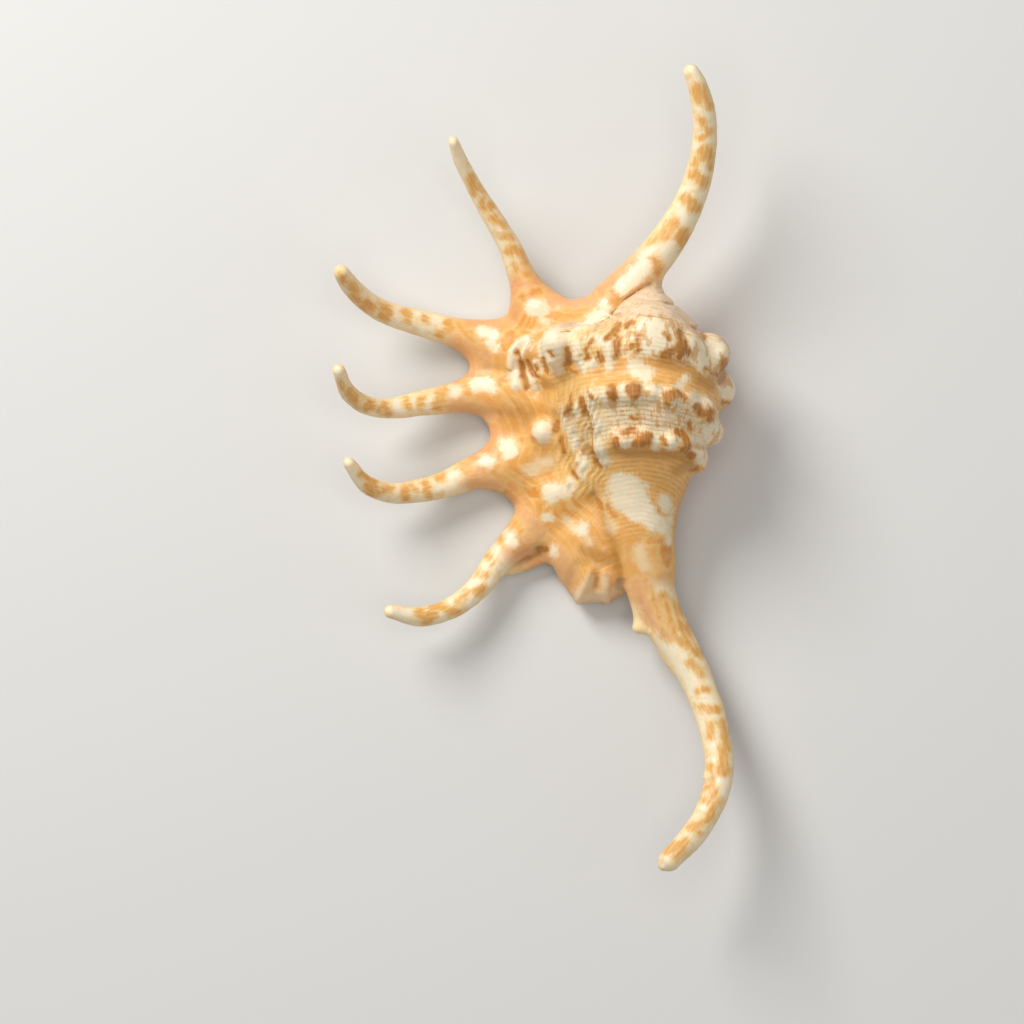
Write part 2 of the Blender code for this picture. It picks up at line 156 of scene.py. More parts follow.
# %% Whorl field
# Y station, X of the axis, Z of the axis, radius, reach of the left side
WHORL_SECTIONS = [
    (46.8, 29.2, 21.6, 0.4, 0.4),
    (45.2, 29.1, 21.4, 2.2, 2.2),
    (42.8, 28.8, 21.0, 5.0, 5.0),
    (40.4, 28.6, 20.6, 7.6, 7.6),
    (38.4, 28.4, 20.2, 9.8, 10.4),
    (36.4, 28.4, 19.8, 12.0, 13.6),
    (34.6, 28.4, 19.4, 13.8, 18.6),
    (32.8, 28.4, 19.0, 15.0, 23.4),
    (31.0, 28.4, 18.8, 16.0, 25.4),
    (28.0, 28.4, 18.4, 17.2, 25.0),
    (25.0, 28.4, 18.2, 18.2, 24.0),
    (22.0, 28.4, 18.1, 18.8, 23.2),
    (19.0, 28.4, 18.0, 18.8, 22.6),
    (15.0, 28.4, 17.8, 18.1, 21.4),
    (11.0, 28.4, 17.2, 17.0, 19.8),
    (7.0, 28.4, 16.4, 15.4, 17.8),
    (3.0, 28.3, 15.6, 13.4, 15.6),
    (-1.0, 28.2, 14.8, 11.6, 13.4),
    (-5.0, 28.0, 14.2, 9.9, 11.6),
    (-10.0, 27.7, 13.4, 8.5, 9.8),
    (-16.0, 27.6, 12.6, 7.6, 8.4),
    (-24.0, 28.6, 11.4, 6.6, 7.0),
    (-30.0, 30.4, 10.6, 5.4, 5.4),
]
APEX = (29.0, 47.0)
SPIRE_TILT = 0.3
SUTURE_FROM_APEX = 8.4
SUTURE_LAST = 11.5
WHORL_GROWTH = 2.05
SUTURE_DEPTH = 0.11
SUTURE_WIDTH = 0.10

fine_whorl = curve_through(WHORL_SECTIONS, 0.25)
whorl_slope = np.gradient(fine_whorl[:, 3], fine_whorl[:, 0])
print("the whorl is widest with a radius of", round(float(fine_whorl[:, 3].max()), 1), "mm")


def whorl_at(y):
    """Axis X, axis Z, radius, left reach and slope of the radius at the given Y stations."""
    columns = [fine_whorl[:, k] for k in (1, 2, 3, 4)] + [whorl_slope]
    return [np.interp(-y, -fine_whorl[:, 0], column) for column in columns]


def whorl_field(points):
    """Distance from the axis, with the left side squeezed to the radius, less the radius. The suture takes a
    share off the radius where log(distance from the apex) / log(growth) less the turn is a whole number."""
    x, y, z = points.T
    axis_x, axis_z, radius, reach, slope = whorl_at(y)
    across = np.where(x < axis_x, (x - axis_x) * radius / reach, x - axis_x)
    up = z - axis_z
    from_apex = np.maximum(APEX[1] - y - SPIRE_TILT * (x - APEX[0]), 0.1)
    turn = np.arctan2(up, across) / (2 * math.pi)
    turns = np.log(from_apex / SUTURE_FROM_APEX) / math.log(WHORL_GROWTH) - turn
    beside = turns - np.round(turns)
    groove = (from_apex < SUTURE_LAST) * SUTURE_DEPTH * np.exp(-((beside / SUTURE_WIDTH) ** 2))
    skin = (np.hypot(across, up) - radius * (1 - groove)) / np.sqrt(1 + slope**2)
    past_end = np.maximum(y - WHORL_SECTIONS[0][0], WHORL_SECTIONS[-1][0] + 2.0 - y)
    return smooth_max(skin, past_end, 3.0)


# %% [markdown]
# ## Keels and knobs
# Three spiral keels run over the back, and each carries a row of blunt knobs. They are tubes and balls sunk
# in the whorl. A place on the whorl is given by its Y station and by how far it leans from straight up, in
# degrees with the right side positive, because that is how a shell is read.

# %% Keel and knob fields
KEELS = {  # Y, lean, radius
    "shoulder": [(30.8, -66, 4.0), (30.8, -48, 4.6), (30.2, -25, 5.0), (31.2, 5, 6.0), (30.2, 35, 5.2),
                 (28.2, 70, 4.4), (24.0, 100, 3.4)],
    "second": [(16.4, -62, 2.6), (19.0, -30, 3.2), (19.8, -5, 3.4), (18.2, 20, 3.4), (15.0, 47, 3.2),
               (10.0, 85, 2.8)],
    "third": [(6.0, -50, 2.2), (7.8, -20, 3.0), (7.8, 10, 3.2), (6.8, 32, 3.0), (4.4, 52, 2.8),
              (2.0, 88, 2.4)],
}
KEEL_SINK = 0.62
KNOBS = [  # Y, lean, radius, sink
    (31.2, -64, 5.2, 1.6),
    (31.0, -40, 4.6, 2.4),
    (32.0, 4, 9.6, 5.8),
    (31.0, 30, 6.0, 3.2),
    (28.6, 72, 5.2, 0.8),
    (19.8, 106, 5.2, 1.4),
    (19.2, -27.5, 3.0, 0.5),
    (19.8, -11.8, 3.1, 0.4),
    (19.6, 3, 2.6, 0.6),
    (18.2, 16, 3.1, 0.4),
    (17.2, 31, 2.8, 0.6),
    (14.4, 52, 3.4, 0.6),
    (9.4, 88, 3.4, 0.9),
    (8.0, -23, 2.8, 0.6),
    (8.0, -5, 2.6, 0.6),
    (7.2, 22, 3.0, 0.6),
    (7.2, 35, 2.8, 0.6),
    (4.4, 52, 2.8, 0.6),
    (2.2, 88, 3.0, 0.8),
]


def on_whorl(rows):
    """Points on the whorl from rows of Y, lean and sink."""
    y, lean, sink = np.asarray(rows, float).T
    axis_x, axis_z, radius, reach, _slope = whorl_at(y)
    across = np.where(lean < 0, reach, radius) - sink
    turn = np.radians(lean)
    return np.column_stack([axis_x + across * np.sin(turn), y, axis_z + (radius - sink) * np.cos(turn)])


keel_routes = []
for rows in KEELS.values():
    sizes = np.array([row[2] for row in rows])
    spots = on_whorl([(y, lean, KEEL_SINK * size) for y, lean, size in rows])
    keel_routes.append(curve_through(np.column_stack([spots, sizes]), 1.6))
knob_rows = np.array(KNOBS)
knob_balls = np.column_stack([on_whorl(knob_rows[:, [0, 1, 3]]), knob_rows[:, 2]])
print(len(keel_routes), "keels and", len(knob_balls), "knobs")


def back_field(points):
    """The whorl joined with its keels and knobs."""
    field = whorl_field(points)
    for rows in keel_routes:
        here = near(points, rows, 5.0)
        field[here] = smooth_min(field[here], chain_field(points[here], rows), 1.6)
    for ball in knob_balls:
        distance = np.sqrt(((points - ball[:3]) ** 2).sum(1)) - ball[3]
        field = smooth_min(field, distance, 1.4)
    return field


# %% [markdown]
# ## The outer lip
# The lip is a plate that starts thin at its free margin and climbs inwards until it meets the whorl. From
# above, its margin is what the photo shows best, so the margin is the driving line. Every section runs from
# a point of the margin in to the whorl. For each spot of a fine plan grid the nearest section is found, and
# it gives two heights there, the top and the underside. The free edge is rounded like a half pipe.

# %% Lip field
LIP_MARGIN = [  # X, Y, Z of the middle
    (27.0, 50.0, 18.0), (21.5, 46.6, 15.6), (16.0, 43.9, 13.0), (9.0, 42.6, 10.6), (3.0, 44.4, 9.0),
    (-1.5, 46.5, 8.4), (-5.0, 43.5, 7.2), (-7.2, 38.6, 5.8), (-11.5, 36.8, 4.6), (-17.0, 35.6, 4.2),
    (-17.8, 31.5, 4.0), (-16.4, 27.5, 4.2), (-16.3, 23.5, 4.2), (-18.2, 20.5, 4.2), (-18.0, 16.5, 4.2),
    (-13.8, 13.8, 4.2), (-11.0, 9.0, 4.4), (-12.4, 4.0, 3.8), (-14.6, 0.0, 3.6), (-12.0, -4.0, 3.6),
    (-7.5, -6.8, 3.8), (-4.0, -10.4, 4.0), (-4.4, -14.6, 3.8), (-4.6, -19.0, 3.8), (-1.0, -20.6, 4.2),
    (1.4, -19.8, 5.0), (4.2, -22.4, 5.0), (7.6, -28.6, 3.2), (10.6, -32.8, 2.3), (14.6, -33.2, 2.1),
    (18.6, -32.4, 2.5), (22.6, -30.8, 4.6), (25.4, -30.4, 6.6),
]
LIP_ROOT_X = 26.5
LIP_ROOT_MIDDLE_Y = 6.0
LIP_ROOT_SQUEEZE = 0.78
LIP_ROOT_DROP = 1.0
LIP_HALF = 2.7
LIP_CLIMB = 1.35
LIP_SHOULDER_SHARE = 0.78
LIP_SHOULDER_CLIMB = 1.6
LIP_UNDER = 1.1
LIP_NECK_SINK = 0.22
WHORL_WIDEST = 18.8
LIP_SWELLINGS = [  # X, Y, Z, radius, flattening
    (-3.2, 29.6, 10.2, 4.4, 0.8),
    (-5.4, 19.4, 8.2, 4.6, 0.7),
    (2.4, 9.6, 13.4, 3.2, 1.0),
    (4.6, -4.6, 8.6, 5.4, 0.7),
    (1.6, 39.4, 9.6, 5.0, 0.7),
    (14.0, -19.0, 6.8, 10.0, 0.55),
    (15.4, -26.4, 5.0, 6.6, 0.6),
]
PLAN_LOW = np.array([-26.0, -42.0])
PLAN_HIGH = np.array([36.0, 58.0])
PLAN_STEP = 0.5

margin = curve_through(LIP_MARGIN, 0.5)
plan_x = np.arange(PLAN_LOW[0], PLAN_HIGH[0], PLAN_STEP)
plan_y = np.arange(PLAN_LOW[1], PLAN_HIGH[1], PLAN_STEP)
plan = np.stack(np.meshgrid(plan_x, plan_y, indexing="ij"), -1).reshape(-1, 2)


def line_distance(spots, line):
    """Distance in the plan from each spot to a polyline."""
    best = np.full(len(spots), np.inf)
    for start, end in zip(line[:-1], line[1:]):
        step = end - start
        length = math.hypot(*step)
        share = np.clip((spots - start) @ step / (length * length), 0.0, 1.0)
        best = np.minimum(best, np.hypot(*(spots - start - share[:, None] * step).T))
    return best


def inside_line(spots, line):
    """Whether each spot lies in a closed outline: a ray from it crosses that an odd number of times."""
    x, y = spots.T
    odd = np.zeros(len(spots), bool)
    for (ax, ay), (bx, by) in zip(line, np.roll(line, -1, axis=0)):
        crosses = (ay > y) != (by > y)
        odd ^= crosses & (x < ax + (y - ay) * (bx - ax) / (by - ay + 1e-12))
    return odd


def lip_heights():
    """Maps over the plan of the signed distance to the margin, the middle height and the half thickness.
    Along a section, t runs from 0 at the margin to 1 at the root, and
    middle = z + (root height - z) * t^climb,
    top = middle + half + share * whorl radius * t^shoulder climb, less a little at the neck, and
    underside = middle - half * (1 + under * t)."""
    edge = line_distance(plan, margin[:, :2])
    outline = np.vstack([margin[:, :2], [(LIP_ROOT_X, margin[-1, 1]), (LIP_ROOT_X, margin[0, 1])]])
    edge = np.where(inside_line(plan, outline), -edge, edge)
    root_y = LIP_ROOT_MIDDLE_Y + (margin[:, 1] - LIP_ROOT_MIDDLE_Y) * LIP_ROOT_SQUEEZE
    section = np.column_stack([LIP_ROOT_X - margin[:, 0], root_y - margin[:, 1]])
    best = np.full(len(plan), np.inf)
    nearest = np.zeros(len(plan), int)
    share = np.zeros(len(plan))
    for number, (start, step) in enumerate(zip(margin[:, :2], section)):
        t = np.clip((plan - start) @ step / (step @ step), 0.0, 1.0)
        distance = np.hypot(*(plan - start - t[:, None] * step).T)
        closer = distance < best
        best[closer] = distance[closer]
        nearest[closer] = number
        share[closer] = t[closer]
    z = margin[nearest, 2]
    _axis_x, axis_z, radius, _reach, _slope = whorl_at(root_y[nearest])
    middle = z + (axis_z - LIP_ROOT_DROP - z) * share**LIP_CLIMB
    top = middle + LIP_HALF + LIP_SHOULDER_SHARE * radius * share**LIP_SHOULDER_CLIMB
    top -= LIP_NECK_SINK * (WHORL_WIDEST - radius) * share**3
    under = middle - LIP_HALF * (1 + LIP_UNDER * share)
    return edge, (top + under) / 2, (top - under) / 2


def softened(values, rounds):
    """A map blurred by taking the mean of each spot and its four neighbours, rounds times."""
    table = values.reshape(len(plan_x), len(plan_y))
    for _round in range(rounds):
        framed = np.pad(table, 1, mode="edge")
        table = (framed[:-2, 1:-1] + framed[2:, 1:-1] + framed[1:-1, :-2] + framed[1:-1, 2:] + table) / 5
    return table


edge_map, middle_map, half_map = (softened(values, 2) for values in lip_heights())
slopes = [np.hypot(*np.gradient(middle_map + side * half_map, PLAN_STEP)) for side in (-1, 1)]
steep_map = softened(np.sqrt(1 + np.maximum(*slopes) ** 2), 2)
print("lip heights worked out on a plan grid of", edge_map.shape)


def from_map(table, spots):
    """Value of a plan map at each spot, blended between its four nearest grid points."""
    cell = (np.clip(spots, PLAN_LOW, PLAN_HIGH - 1.01 * PLAN_STEP) - PLAN_LOW) / PLAN_STEP
    i, j = np.minimum(cell.astype(int), np.array(table.shape) - 2).T
    u, v = cell[:, 0] - i, cell[:, 1] - j
    low = table[i, j] * (1 - u) + table[i + 1, j] * u
    high = table[i, j + 1] * (1 - u) + table[i + 1, j + 1] * u
    return low * (1 - v) + high * v


def lip_field(points):
    """The plate between the two heights: hypot(how far past the edge's round, height off the middle) less
    the half thickness, with a swelling wherever a keel runs out on to the lip."""
    field = np.full(len(points), FAR)
    plan_spots = points[:, :2]
    here = np.flatnonzero(((plan_spots > PLAN_LOW) & (plan_spots < PLAN_HIGH)).all(1))
    spots = plan_spots[here]
    half = from_map(half_map, spots)
    past_round = np.maximum(from_map(edge_map, spots) + half, 0.0)
    height = points[here, 2] - from_map(middle_map, spots)
    plate = (np.hypot(past_round, height) - half) / from_map(steep_map, spots)
    field[here] = smooth_max(plate, points[here, 0] - LIP_ROOT_X, 6.0)
    for x, y, z, size, flattening in LIP_SWELLINGS:
        stretch = np.array([1.0, 1.0, 1 / flattening])
        distance = np.sqrt((((points - (x, y, z)) * stretch) ** 2).sum(1)) - size
        field = smooth_min(field, distance * flattening, 3.0)
    return field


# %% [markdown]
# ## Fingers and siphonal canal
# Six hollow fingers grow out of the lip, and the siphonal canal runs down from the neck of the whorl. Each
# is a round profile carried along a bent path, thick at the root and blunt at the tip, so one list of places
# and radii describes it. They curve up and away from the table. The canal's flap and the thin flanges at
# the apex and beside the sixth finger are made the same way.

# %% Finger and canal fields
LIMB_ROUTES = {  # X, Y, Z, radius
    "posterior finger": [
        (12, 32, 15, 7.6), (18.6, 38.6, 17, 7.2), (24.4, 45.6, 19, 6), (28.1, 50.4, 19.6, 5),
        (33.4, 57.4, 20.8, 4.4), (37.9, 65, 22.8, 3.8), (41, 73.5, 25.6, 3.4), (42.4, 82, 28.6, 3.05),
        (42, 90, 31.6, 2.8), (40.3, 96, 33.8, 2.45), (39, 98.6, 34.8, 2.1),
    ],
    "second finger": [
        (6, 30, 9, 6), (0.8, 39.5, 7.6, 5), (-3.2, 48.6, 8.8, 3.5), (-6.8, 57, 11.4, 2.8),
        (-11.8, 65.2, 15, 2.3), (-15.6, 71.6, 19, 2), (-18.4, 77, 23.6, 1.7), (-20.2, 81.6, 28.2, 1.3),
    ],
    "third finger": [
        (4, 27.5, 8.4, 6.4), (-3, 29.6, 6.6, 6.2), (-10.5, 31.6, 4.8, 5.3), (-19.9, 34.3, 5.6, 3.9),
        (-28.1, 36.5, 7.8, 3.3), (-36.4, 38.9, 11.4, 2.8), (-42, 42, 16.2, 2.7), (-46, 45.8, 22.4, 2.4),
        (-48.2, 49, 28, 1.9),
    ],
    "fourth finger": [
        (4, 21.6, 9, 6.4), (-3, 21, 6.4, 5.9), (-10, 19.8, 4.5, 5), (-20.4, 18, 5.6, 3.8),
        (-28, 16.6, 8.2, 3.2), (-36.8, 15.2, 12.2, 2.6), (-43, 16.4, 17.4, 2.3), (-46.8, 19.6, 23.4, 2),
        (-48.8, 24.7, 29.8, 1.5),
    ],
    "fifth finger": [
        (10, 8, 10, 6.4), (1, 4.6, 6.8, 6), (-8, 1.4, 4.6, 5.2), (-15.2, -0.9, 4.6, 4.2),
        (-23.1, -4, 6.2, 3.4), (-30, -5.6, 8.8, 2.85), (-36.4, -5.9, 12.2, 2.5), (-42.2, -3.6, 16.8, 2.2),
        (-46.4, 1.6, 22.6, 1.4),
    ],
    "sixth finger": [
        (14, 0, 10, 6.6), (6, -8, 6.6, 6), (-0.4, -14, 4.7, 5.2), (-5.6, -19.2, 4.6, 4.2),
        (-10, -24, 5.4, 3.5), (-14.6, -30.2, 7, 3.05), (-20.8, -34.8, 9, 2.75), (-28.4, -37, 12, 2.45),
        (-36, -35.7, 16, 1.8),
    ],
    "siphonal canal": [
        (27.4, -14, 12.4, 7.5), (28.2, -24, 11, 6.8), (30.2, -32.8, 10.2, 5.7), (34.0, -40.6, 9.8, 5.0),
        (37.4, -46.4, 9.8, 4.6), (41.4, -54.4, 10.4, 4.05), (44.6, -64, 12.2, 3.8),
        (46.2, -72.6, 14.6, 3.65), (45.7, -80, 17.6, 3.5), (42.7, -87, 20.8, 3.2), (38.2, -93, 24, 3),
        (33.4, -97.9, 27, 2.6),
    ],
}
FLAP_ROUTES = [  # X, Y, Z, radius
    [(27.6, -26, 10, 3.2), (26.8, -32, 10.4, 2.0), (26.6, -36, 10.6, 1.6), (26.1, -39.8, 10.8, 1.1)],
    [(26.1, -39.9, 10.8, 1.1), (29.6, -39.8, 10.6, 1.6), (32.6, -41.6, 10.2, 2.2)],
    [(33.2, -43.2, 8.6, 1.4), (33.0, -46.0, 8.6, 1.4), (35.9, -49.6, 9.2, 1.5)],
    [(28.6, 47.6, 19.6, 2.4), (30, 45, 19.6, 1.9), (30.2, 42.6, 19.6, 1.9)],
    [(-5.8, -25.6, 3.4, 1.0), (-2.0, -24.2, 3.2, 1.3), (2.6, -21.8, 3.4, 1.6)],
]
LIMB_FILLET = 3.0
FLAP_FILLET = 2.0
BACK_FILLET_X = (12.0, 22.0)
BACK_FILLET = (5.0, 1.2)

limb_routes = {name: curve_through(rows, 2.0) for name, rows in LIMB_ROUTES.items()}
flap_routes = [curve_through(rows, 1.5) for rows in FLAP_ROUTES]
print("limbs:", ", ".join(limb_routes), "and", len(flap_routes), "small flanges")


def limb_field(points):
    """The nearest of all the limbs, with the small flanges joined to them."""
    field = np.full(len(points), FAR)
    for rows in limb_routes.values():
        here = near(points, rows, 6.0)
        field[here] = np.minimum(field[here], chain_field(points[here], rows))
    for rows in flap_routes:
        here = near(points, rows, 6.0)
        field[here] = smooth_min(field[here], chain_field(points[here], rows), FLAP_FILLET)
    return field


# %% [markdown]
# ## The opening
# Underneath, the last whorl opens in a long narrow slit between the polished columella and the outer lip.
# The hollow bends up and over the columella, as the whorl does. From the slit an open groove runs on along
# the canal to its tip. Both are cut from the joined form with a smooth maximum, so their rims are rounded.

# %% Aperture and groove fields
APERTURE_SECTIONS = [  # Y, X of the slit, half width, columella radius
    (35.6, 19.4, 1.2, 3.2), (32, 18.4, 2.4, 4), (26, 16.6, 3.4, 5.2), (19, 15.8, 3.9, 5.8),
    (11, 16.2, 3.9, 5.6), (4, 17.8, 3.5, 4.6), (-2, 20, 3, 3.6), (-7, 22, 2.6, 2.8),
]
SHELL_WALL = 3.6
APERTURE_MOUTH_Z = -2.0
APERTURE_BEND_SHARE = 0.45
APERTURE_TAPER = 0.55
APERTURE_TURNS = np.radians(np.linspace(180, 25, 12))
CANAL_GROOVE = [  # X, Y, Z, radius
    (20.2, -1, 6, 3), (22.6, -8.4, 5.4, 2.8), (25.4, -16, 5, 2.6), (28, -24, 5, 2.3), (30.8, -32.8, 5, 2.1),
    (34.6, -40.4, 5.2, 1.9), (37.6, -46.2, 5.7, 1.8), (41.4, -54.4, 6.8, 1.6), (44.6, -64, 8.5, 1.5),
    (46.2, -72.6, 11, 1.45), (45.7, -80, 14.2, 1.4), (42.7, -87, 17.7, 1.3), (38.4, -93, 21.1, 1.2),
    (33.6, -98, 24.5, 1.1),
]

fine_aperture = curve_through(APERTURE_SECTIONS, 0.5)
groove_route = curve_through(CANAL_GROOVE, 2.0)
print("the slit is", APERTURE_SECTIONS[0][0] - APERTURE_SECTIONS[-1][0], "mm long")


def hollow_field(points):
    """Distance in the section plane to a route that goes up through the slit and bends round the columella,
    less a half width that runs from the slit's to a share of the hollow's."""
    field = np.full(len(points), FAR)
    high_y, low_y = APERTURE_SECTIONS[0][0], APERTURE_SECTIONS[-1][0]
    here = np.flatnonzero((points[:, 1] < high_y + 3) & (points[:, 1] > low_y - 3) & (points[:, 0] > 8))
    x, y, z = points[here].T
    slit_x, half, columella = [np.interp(-y, -fine_aperture[:, 0], fine_aperture[:, k]) for k in (1, 2, 3)]
    axis_x, axis_z, radius, _reach, _slope = whorl_at(y)
    outer = np.maximum(radius - SHELL_WALL, columella + 1)
    middle = (outer + columella) / 2
    taper = np.linspace(1.0, APERTURE_TAPER, len(APERTURE_TURNS))
    route = [(slit_x, np.full(len(y), APERTURE_MOUTH_Z), half), (slit_x, axis_z * APERTURE_BEND_SHARE, half)]
    for turn, share in zip(APERTURE_TURNS, taper):
        width = (outer - columella) / 2 * share
        route.append((axis_x + middle * math.cos(turn), axis_z + middle * math.sin(turn), width))
    best = np.full(len(here), FAR)
    for (ax, az, a_half), (bx, bz, b_half) in zip(route[:-1], route[1:]):
        step_x, step_z = bx - ax, bz - az
        share = np.clip(((x - ax) * step_x + (z - az) * step_z) / (step_x**2 + step_z**2), 0.0, 1.0)
        distance = np.hypot(x - ax - share * step_x, z - az - share * step_z)
        best = np.minimum(best, distance - a_half - share * (b_half - a_half))
    field[here] = smooth_max(best, np.maximum(y - high_y, low_y - y), 2.0)
    return field


def groove_field(points):
    """The open groove under the canal."""
    field = np.full(len(points), FAR)
    here = near(points, groove_route, 6.0)
    field[here] = chain_field(points[here], groove_route)
    return field


def shell_field(points):
    """All parts joined, the opening and groove cut away, and worn flat where it meets the table, Z = 0."""
    field = smooth_min(lip_field(points), limb_field(points), LIMB_FILLET)
    fillet = np.interp(points[:, 0], BACK_FILLET_X, BACK_FILLET)
    field = smooth_min(field, back_field(points), fillet)
    opening = smooth_min(hollow_field(points), groove_field(points), 1.0)
    return np.maximum(smooth_max(field, -opening, 1.4), -points[:, 2])


# %% [markdown]
# ## From field to skin
# The skin is where the field is zero. The space is filled with small cubes, and every cube that the skin
# passes through gets one point, at the mean of where its edges are crossed. Points of neighbouring cubes
# are joined to four-sided faces. This is called surface nets, and it always gives a closed skin. To save
# time the field is first measured in the middle of large blocks. A block is looked at closely only if the
# skin may pass through it: half its diagonal is 0.87 of its side, and the field grows by at most 1.5 per mm.
# Afterwards the points are evened out and pulled exactly on to the zero of the field.

# %% Sample the field and make the net
CUBE = 0.8
COARSE = 4
BLOCK = CUBE * COARSE
HALF_DIAGONAL = 0.87
STEEPEST = 1.5
GRID_LOW = np.array([-53.0, -103.0, -1.6])
GRID_HIGH = np.array([53.0, 103.0, 41.6])
blocks = np.ceil((GRID_HIGH - GRID_LOW) / BLOCK).astype(int)


def grid_points(low, counts, step):
    """Places of a regular grid, as rows."""
    axes = [low[k] + step * np.arange(counts[k]) for k in range(3)]
    return np.stack(np.meshgrid(*axes, indexing="ij"), -1).reshape(-1, 3)


def for_each_cube(values):
    """The values of the blocks, repeated for every cube in them."""
    for axis in range(3):
        values = np.repeat(values, COARSE, axis=axis)
    return values


middles = grid_points(GRID_LOW + BLOCK / 2, blocks, BLOCK)
coarse_field = shell_field(middles).reshape(blocks)
cubes_wanted = for_each_cube(np.abs(coarse_field) < BLOCK * HALF_DIAGONAL * STEEPEST)
wanted = np.zeros(blocks * COARSE + 1, bool)
for corner in np.ndindex(2, 2, 2):
    window = tuple(slice(c, c + n) for c, n in zip(corner, cubes_wanted.shape))
    wanted[window] |= cubes_wanted
samples = np.pad(for_each_cube(coarse_field), [(0, 1)] * 3, mode="edge")
spots = np.argwhere(wanted)
samples[wanted] = shell_field(GRID_LOW + CUBE * spots)
print(len(spots), "grid points measured out of", samples.size)


def settled(samples, rounds):
    """The samples without faces whose corners are inside and outside by turns, because two sheets of skin
    would share an edge there. The outside corners of such a face are made just inside."""
    for _round in range(rounds):
        for first, second in ((0, 1), (1, 2), (0, 2)):
            inside = samples < 0
            ahead = np.roll(inside, -1, first)
            across = np.roll(inside, -1, second)
            both = np.roll(ahead, -1, second)
            mixed = (inside == both) & (ahead == across) & (inside != ahead)
            mixed |= np.roll(mixed, 1, first)
            mixed |= np.roll(mixed, 1, second)
            samples = np.where(mixed & ~inside, -0.05, samples)
    return samples


def surface_net(samples):
    """Points and four-sided faces of the zero skin of a field sampled on a cubic grid."""
    inside = samples < 0
    corners = np.array(list(np.ndindex(2, 2, 2)))
    shape = np.array(samples.shape) - 1
    count = np.zeros(shape, np.int8)
    for corner in corners:
        count += inside[tuple(slice(c, c + n) for c, n in zip(corner, shape))]
    cubes = np.argwhere((count > 0) & (count < 8))
    number = np.full(shape, -1)
    number[tuple(cubes.T)] = np.arange(len(cubes))
    at_corner = np.column_stack([samples[tuple((cubes + corner).T)] for corner in corners])
    total = np.zeros((len(cubes), 3))
    hits = np.zeros(len(cubes))
    for a in range(8):
        for b in range(a + 1, 8):
            if np.abs(corners[a] - corners[b]).sum() != 1:
                continue
            crosses = (at_corner[:, a] < 0) != (at_corner[:, b] < 0)
            share = np.where(crosses, at_corner[:, a] / (at_corner[:, a] - at_corner[:, b] + 1e-12), 0.0)
            total += crosses[:, None] * (corners[a] + share[:, None] * (corners[b] - corners[a]))
            hits += crosses
    faces = []
    for axis in range(3):
        left, right = np.eye(3, dtype=int)[[(axis + 1) % 3, (axis + 2) % 3]]
        ahead = np.roll(inside, -1, axis=axis)
        changes = inside != ahead
        changes[tuple(slice(-1, None) if k == axis else slice(None) for k in range(3))] = False
        starts = np.argwhere(changes)
        ring = [starts, starts - left, starts - left - right, starts - right]
        quads = np.column_stack([number[tuple(cell.T)] for cell in ring])
        leaves = inside[tuple(starts.T)]
        faces.append(np.where(leaves[:, None], quads, quads[:, ::-1]))
    return cubes + total / hits[:, None], np.vstack(faces)


net_points, quads = surface_net(settled(samples, 3))
skin = GRID_LOW + CUBE * net_points
print(len(skin), "points and", len(quads), "faces in the net")

# %% Even out the net and pull it on to the skin
PROBE = 0.04
FLATTEST = 0.2


def edges_of(faces):
    """Every edge once, as pairs of point numbers, and for each side of each face which edge it is."""
    sides = np.stack([faces, np.roll(faces, -1, axis=1)], -1).reshape(-1, 2)
    low, high = np.sort(sides, axis=1).T
    keys, which = np.unique(low.astype(np.int64) << 32 | high, return_inverse=True)
    return np.column_stack([keys >> 32, keys & 0xFFFFFFFF]), which.reshape(faces.shape)


def mean_of_neighbours(values, edges):
    """Mean of a value, or of each column, over the points that share an edge with each point."""
    values = np.asarray(values, float)
    columns = values.reshape(len(values), -1)
    a, b = edges.T
    degree = np.bincount(a, minlength=len(values)) + np.bincount(b, minlength=len(values))
    totals = [
        np.bincount(a, column[b], len(values)) + np.bincount(b, column[a], len(values))
        for column in columns.T
    ]
    return (np.column_stack(totals) / degree[:, None]).reshape(values.shape)


def on_skin(points, rounds):
    """Points moved along the field's slope to its zero: p - f * slope / |slope|^2, at most half a cube."""
    for _round in range(rounds):
        value = shell_field(points)
        ahead = [shell_field(points + PROBE * side) - value for side in np.eye(3)]
        slope = np.column_stack(ahead) / PROBE
        move = -value[:, None] * slope / np.maximum((slope**2).sum(1), FLATTEST)[:, None]
        length = np.linalg.norm(move, axis=1)[:, None]
        points = points + move * np.minimum(1.0, CUBE / 2 / np.maximum(length, 1e-9))
    return points


net_edges, _which = edges_of(quads)
skin = on_skin(skin, 2)
for _round in range(3):
    skin = skin + 0.5 * (mean_of_neighbours(skin, net_edges) - skin)
    skin = on_skin(skin, 1)
diagonals = np.linalg.norm(skin[quads[:, [0, 1]]] - skin[quads[:, [2, 3]]], axis=2)
short_first = diagonals[:, 0] < diagonals[:, 1]
first_cut = [quads[short_first][:, corners] for corners in ([0, 1, 2], [0, 2, 3])]
second_cut = [quads[~short_first][:, corners] for corners in ([0, 1, 3], [1, 2, 3])]
triangles = np.vstack(first_cut + second_cut)
print(len(triangles), "triangles before the back is refined")

# %% [markdown]
# ## A finer net on the back
# The cords on the back are only about a millimetre apart, so the net there has to be twice as fine as on the
# fingers. Each edge whose middle lies in that area is halved, and a triangle is parted in two, three or four
# by how many of its edges are halved, so the skin stays closed along the border of the area.

# %% Refine the back
BACK_LOW_Y, BACK_HIGH_Y = -20.0, 48.0
BACK_LEFT_X = 5.0
SHOULDER_LEFT_X = -7.0
SHOULDER_LOW_Y = 17.0


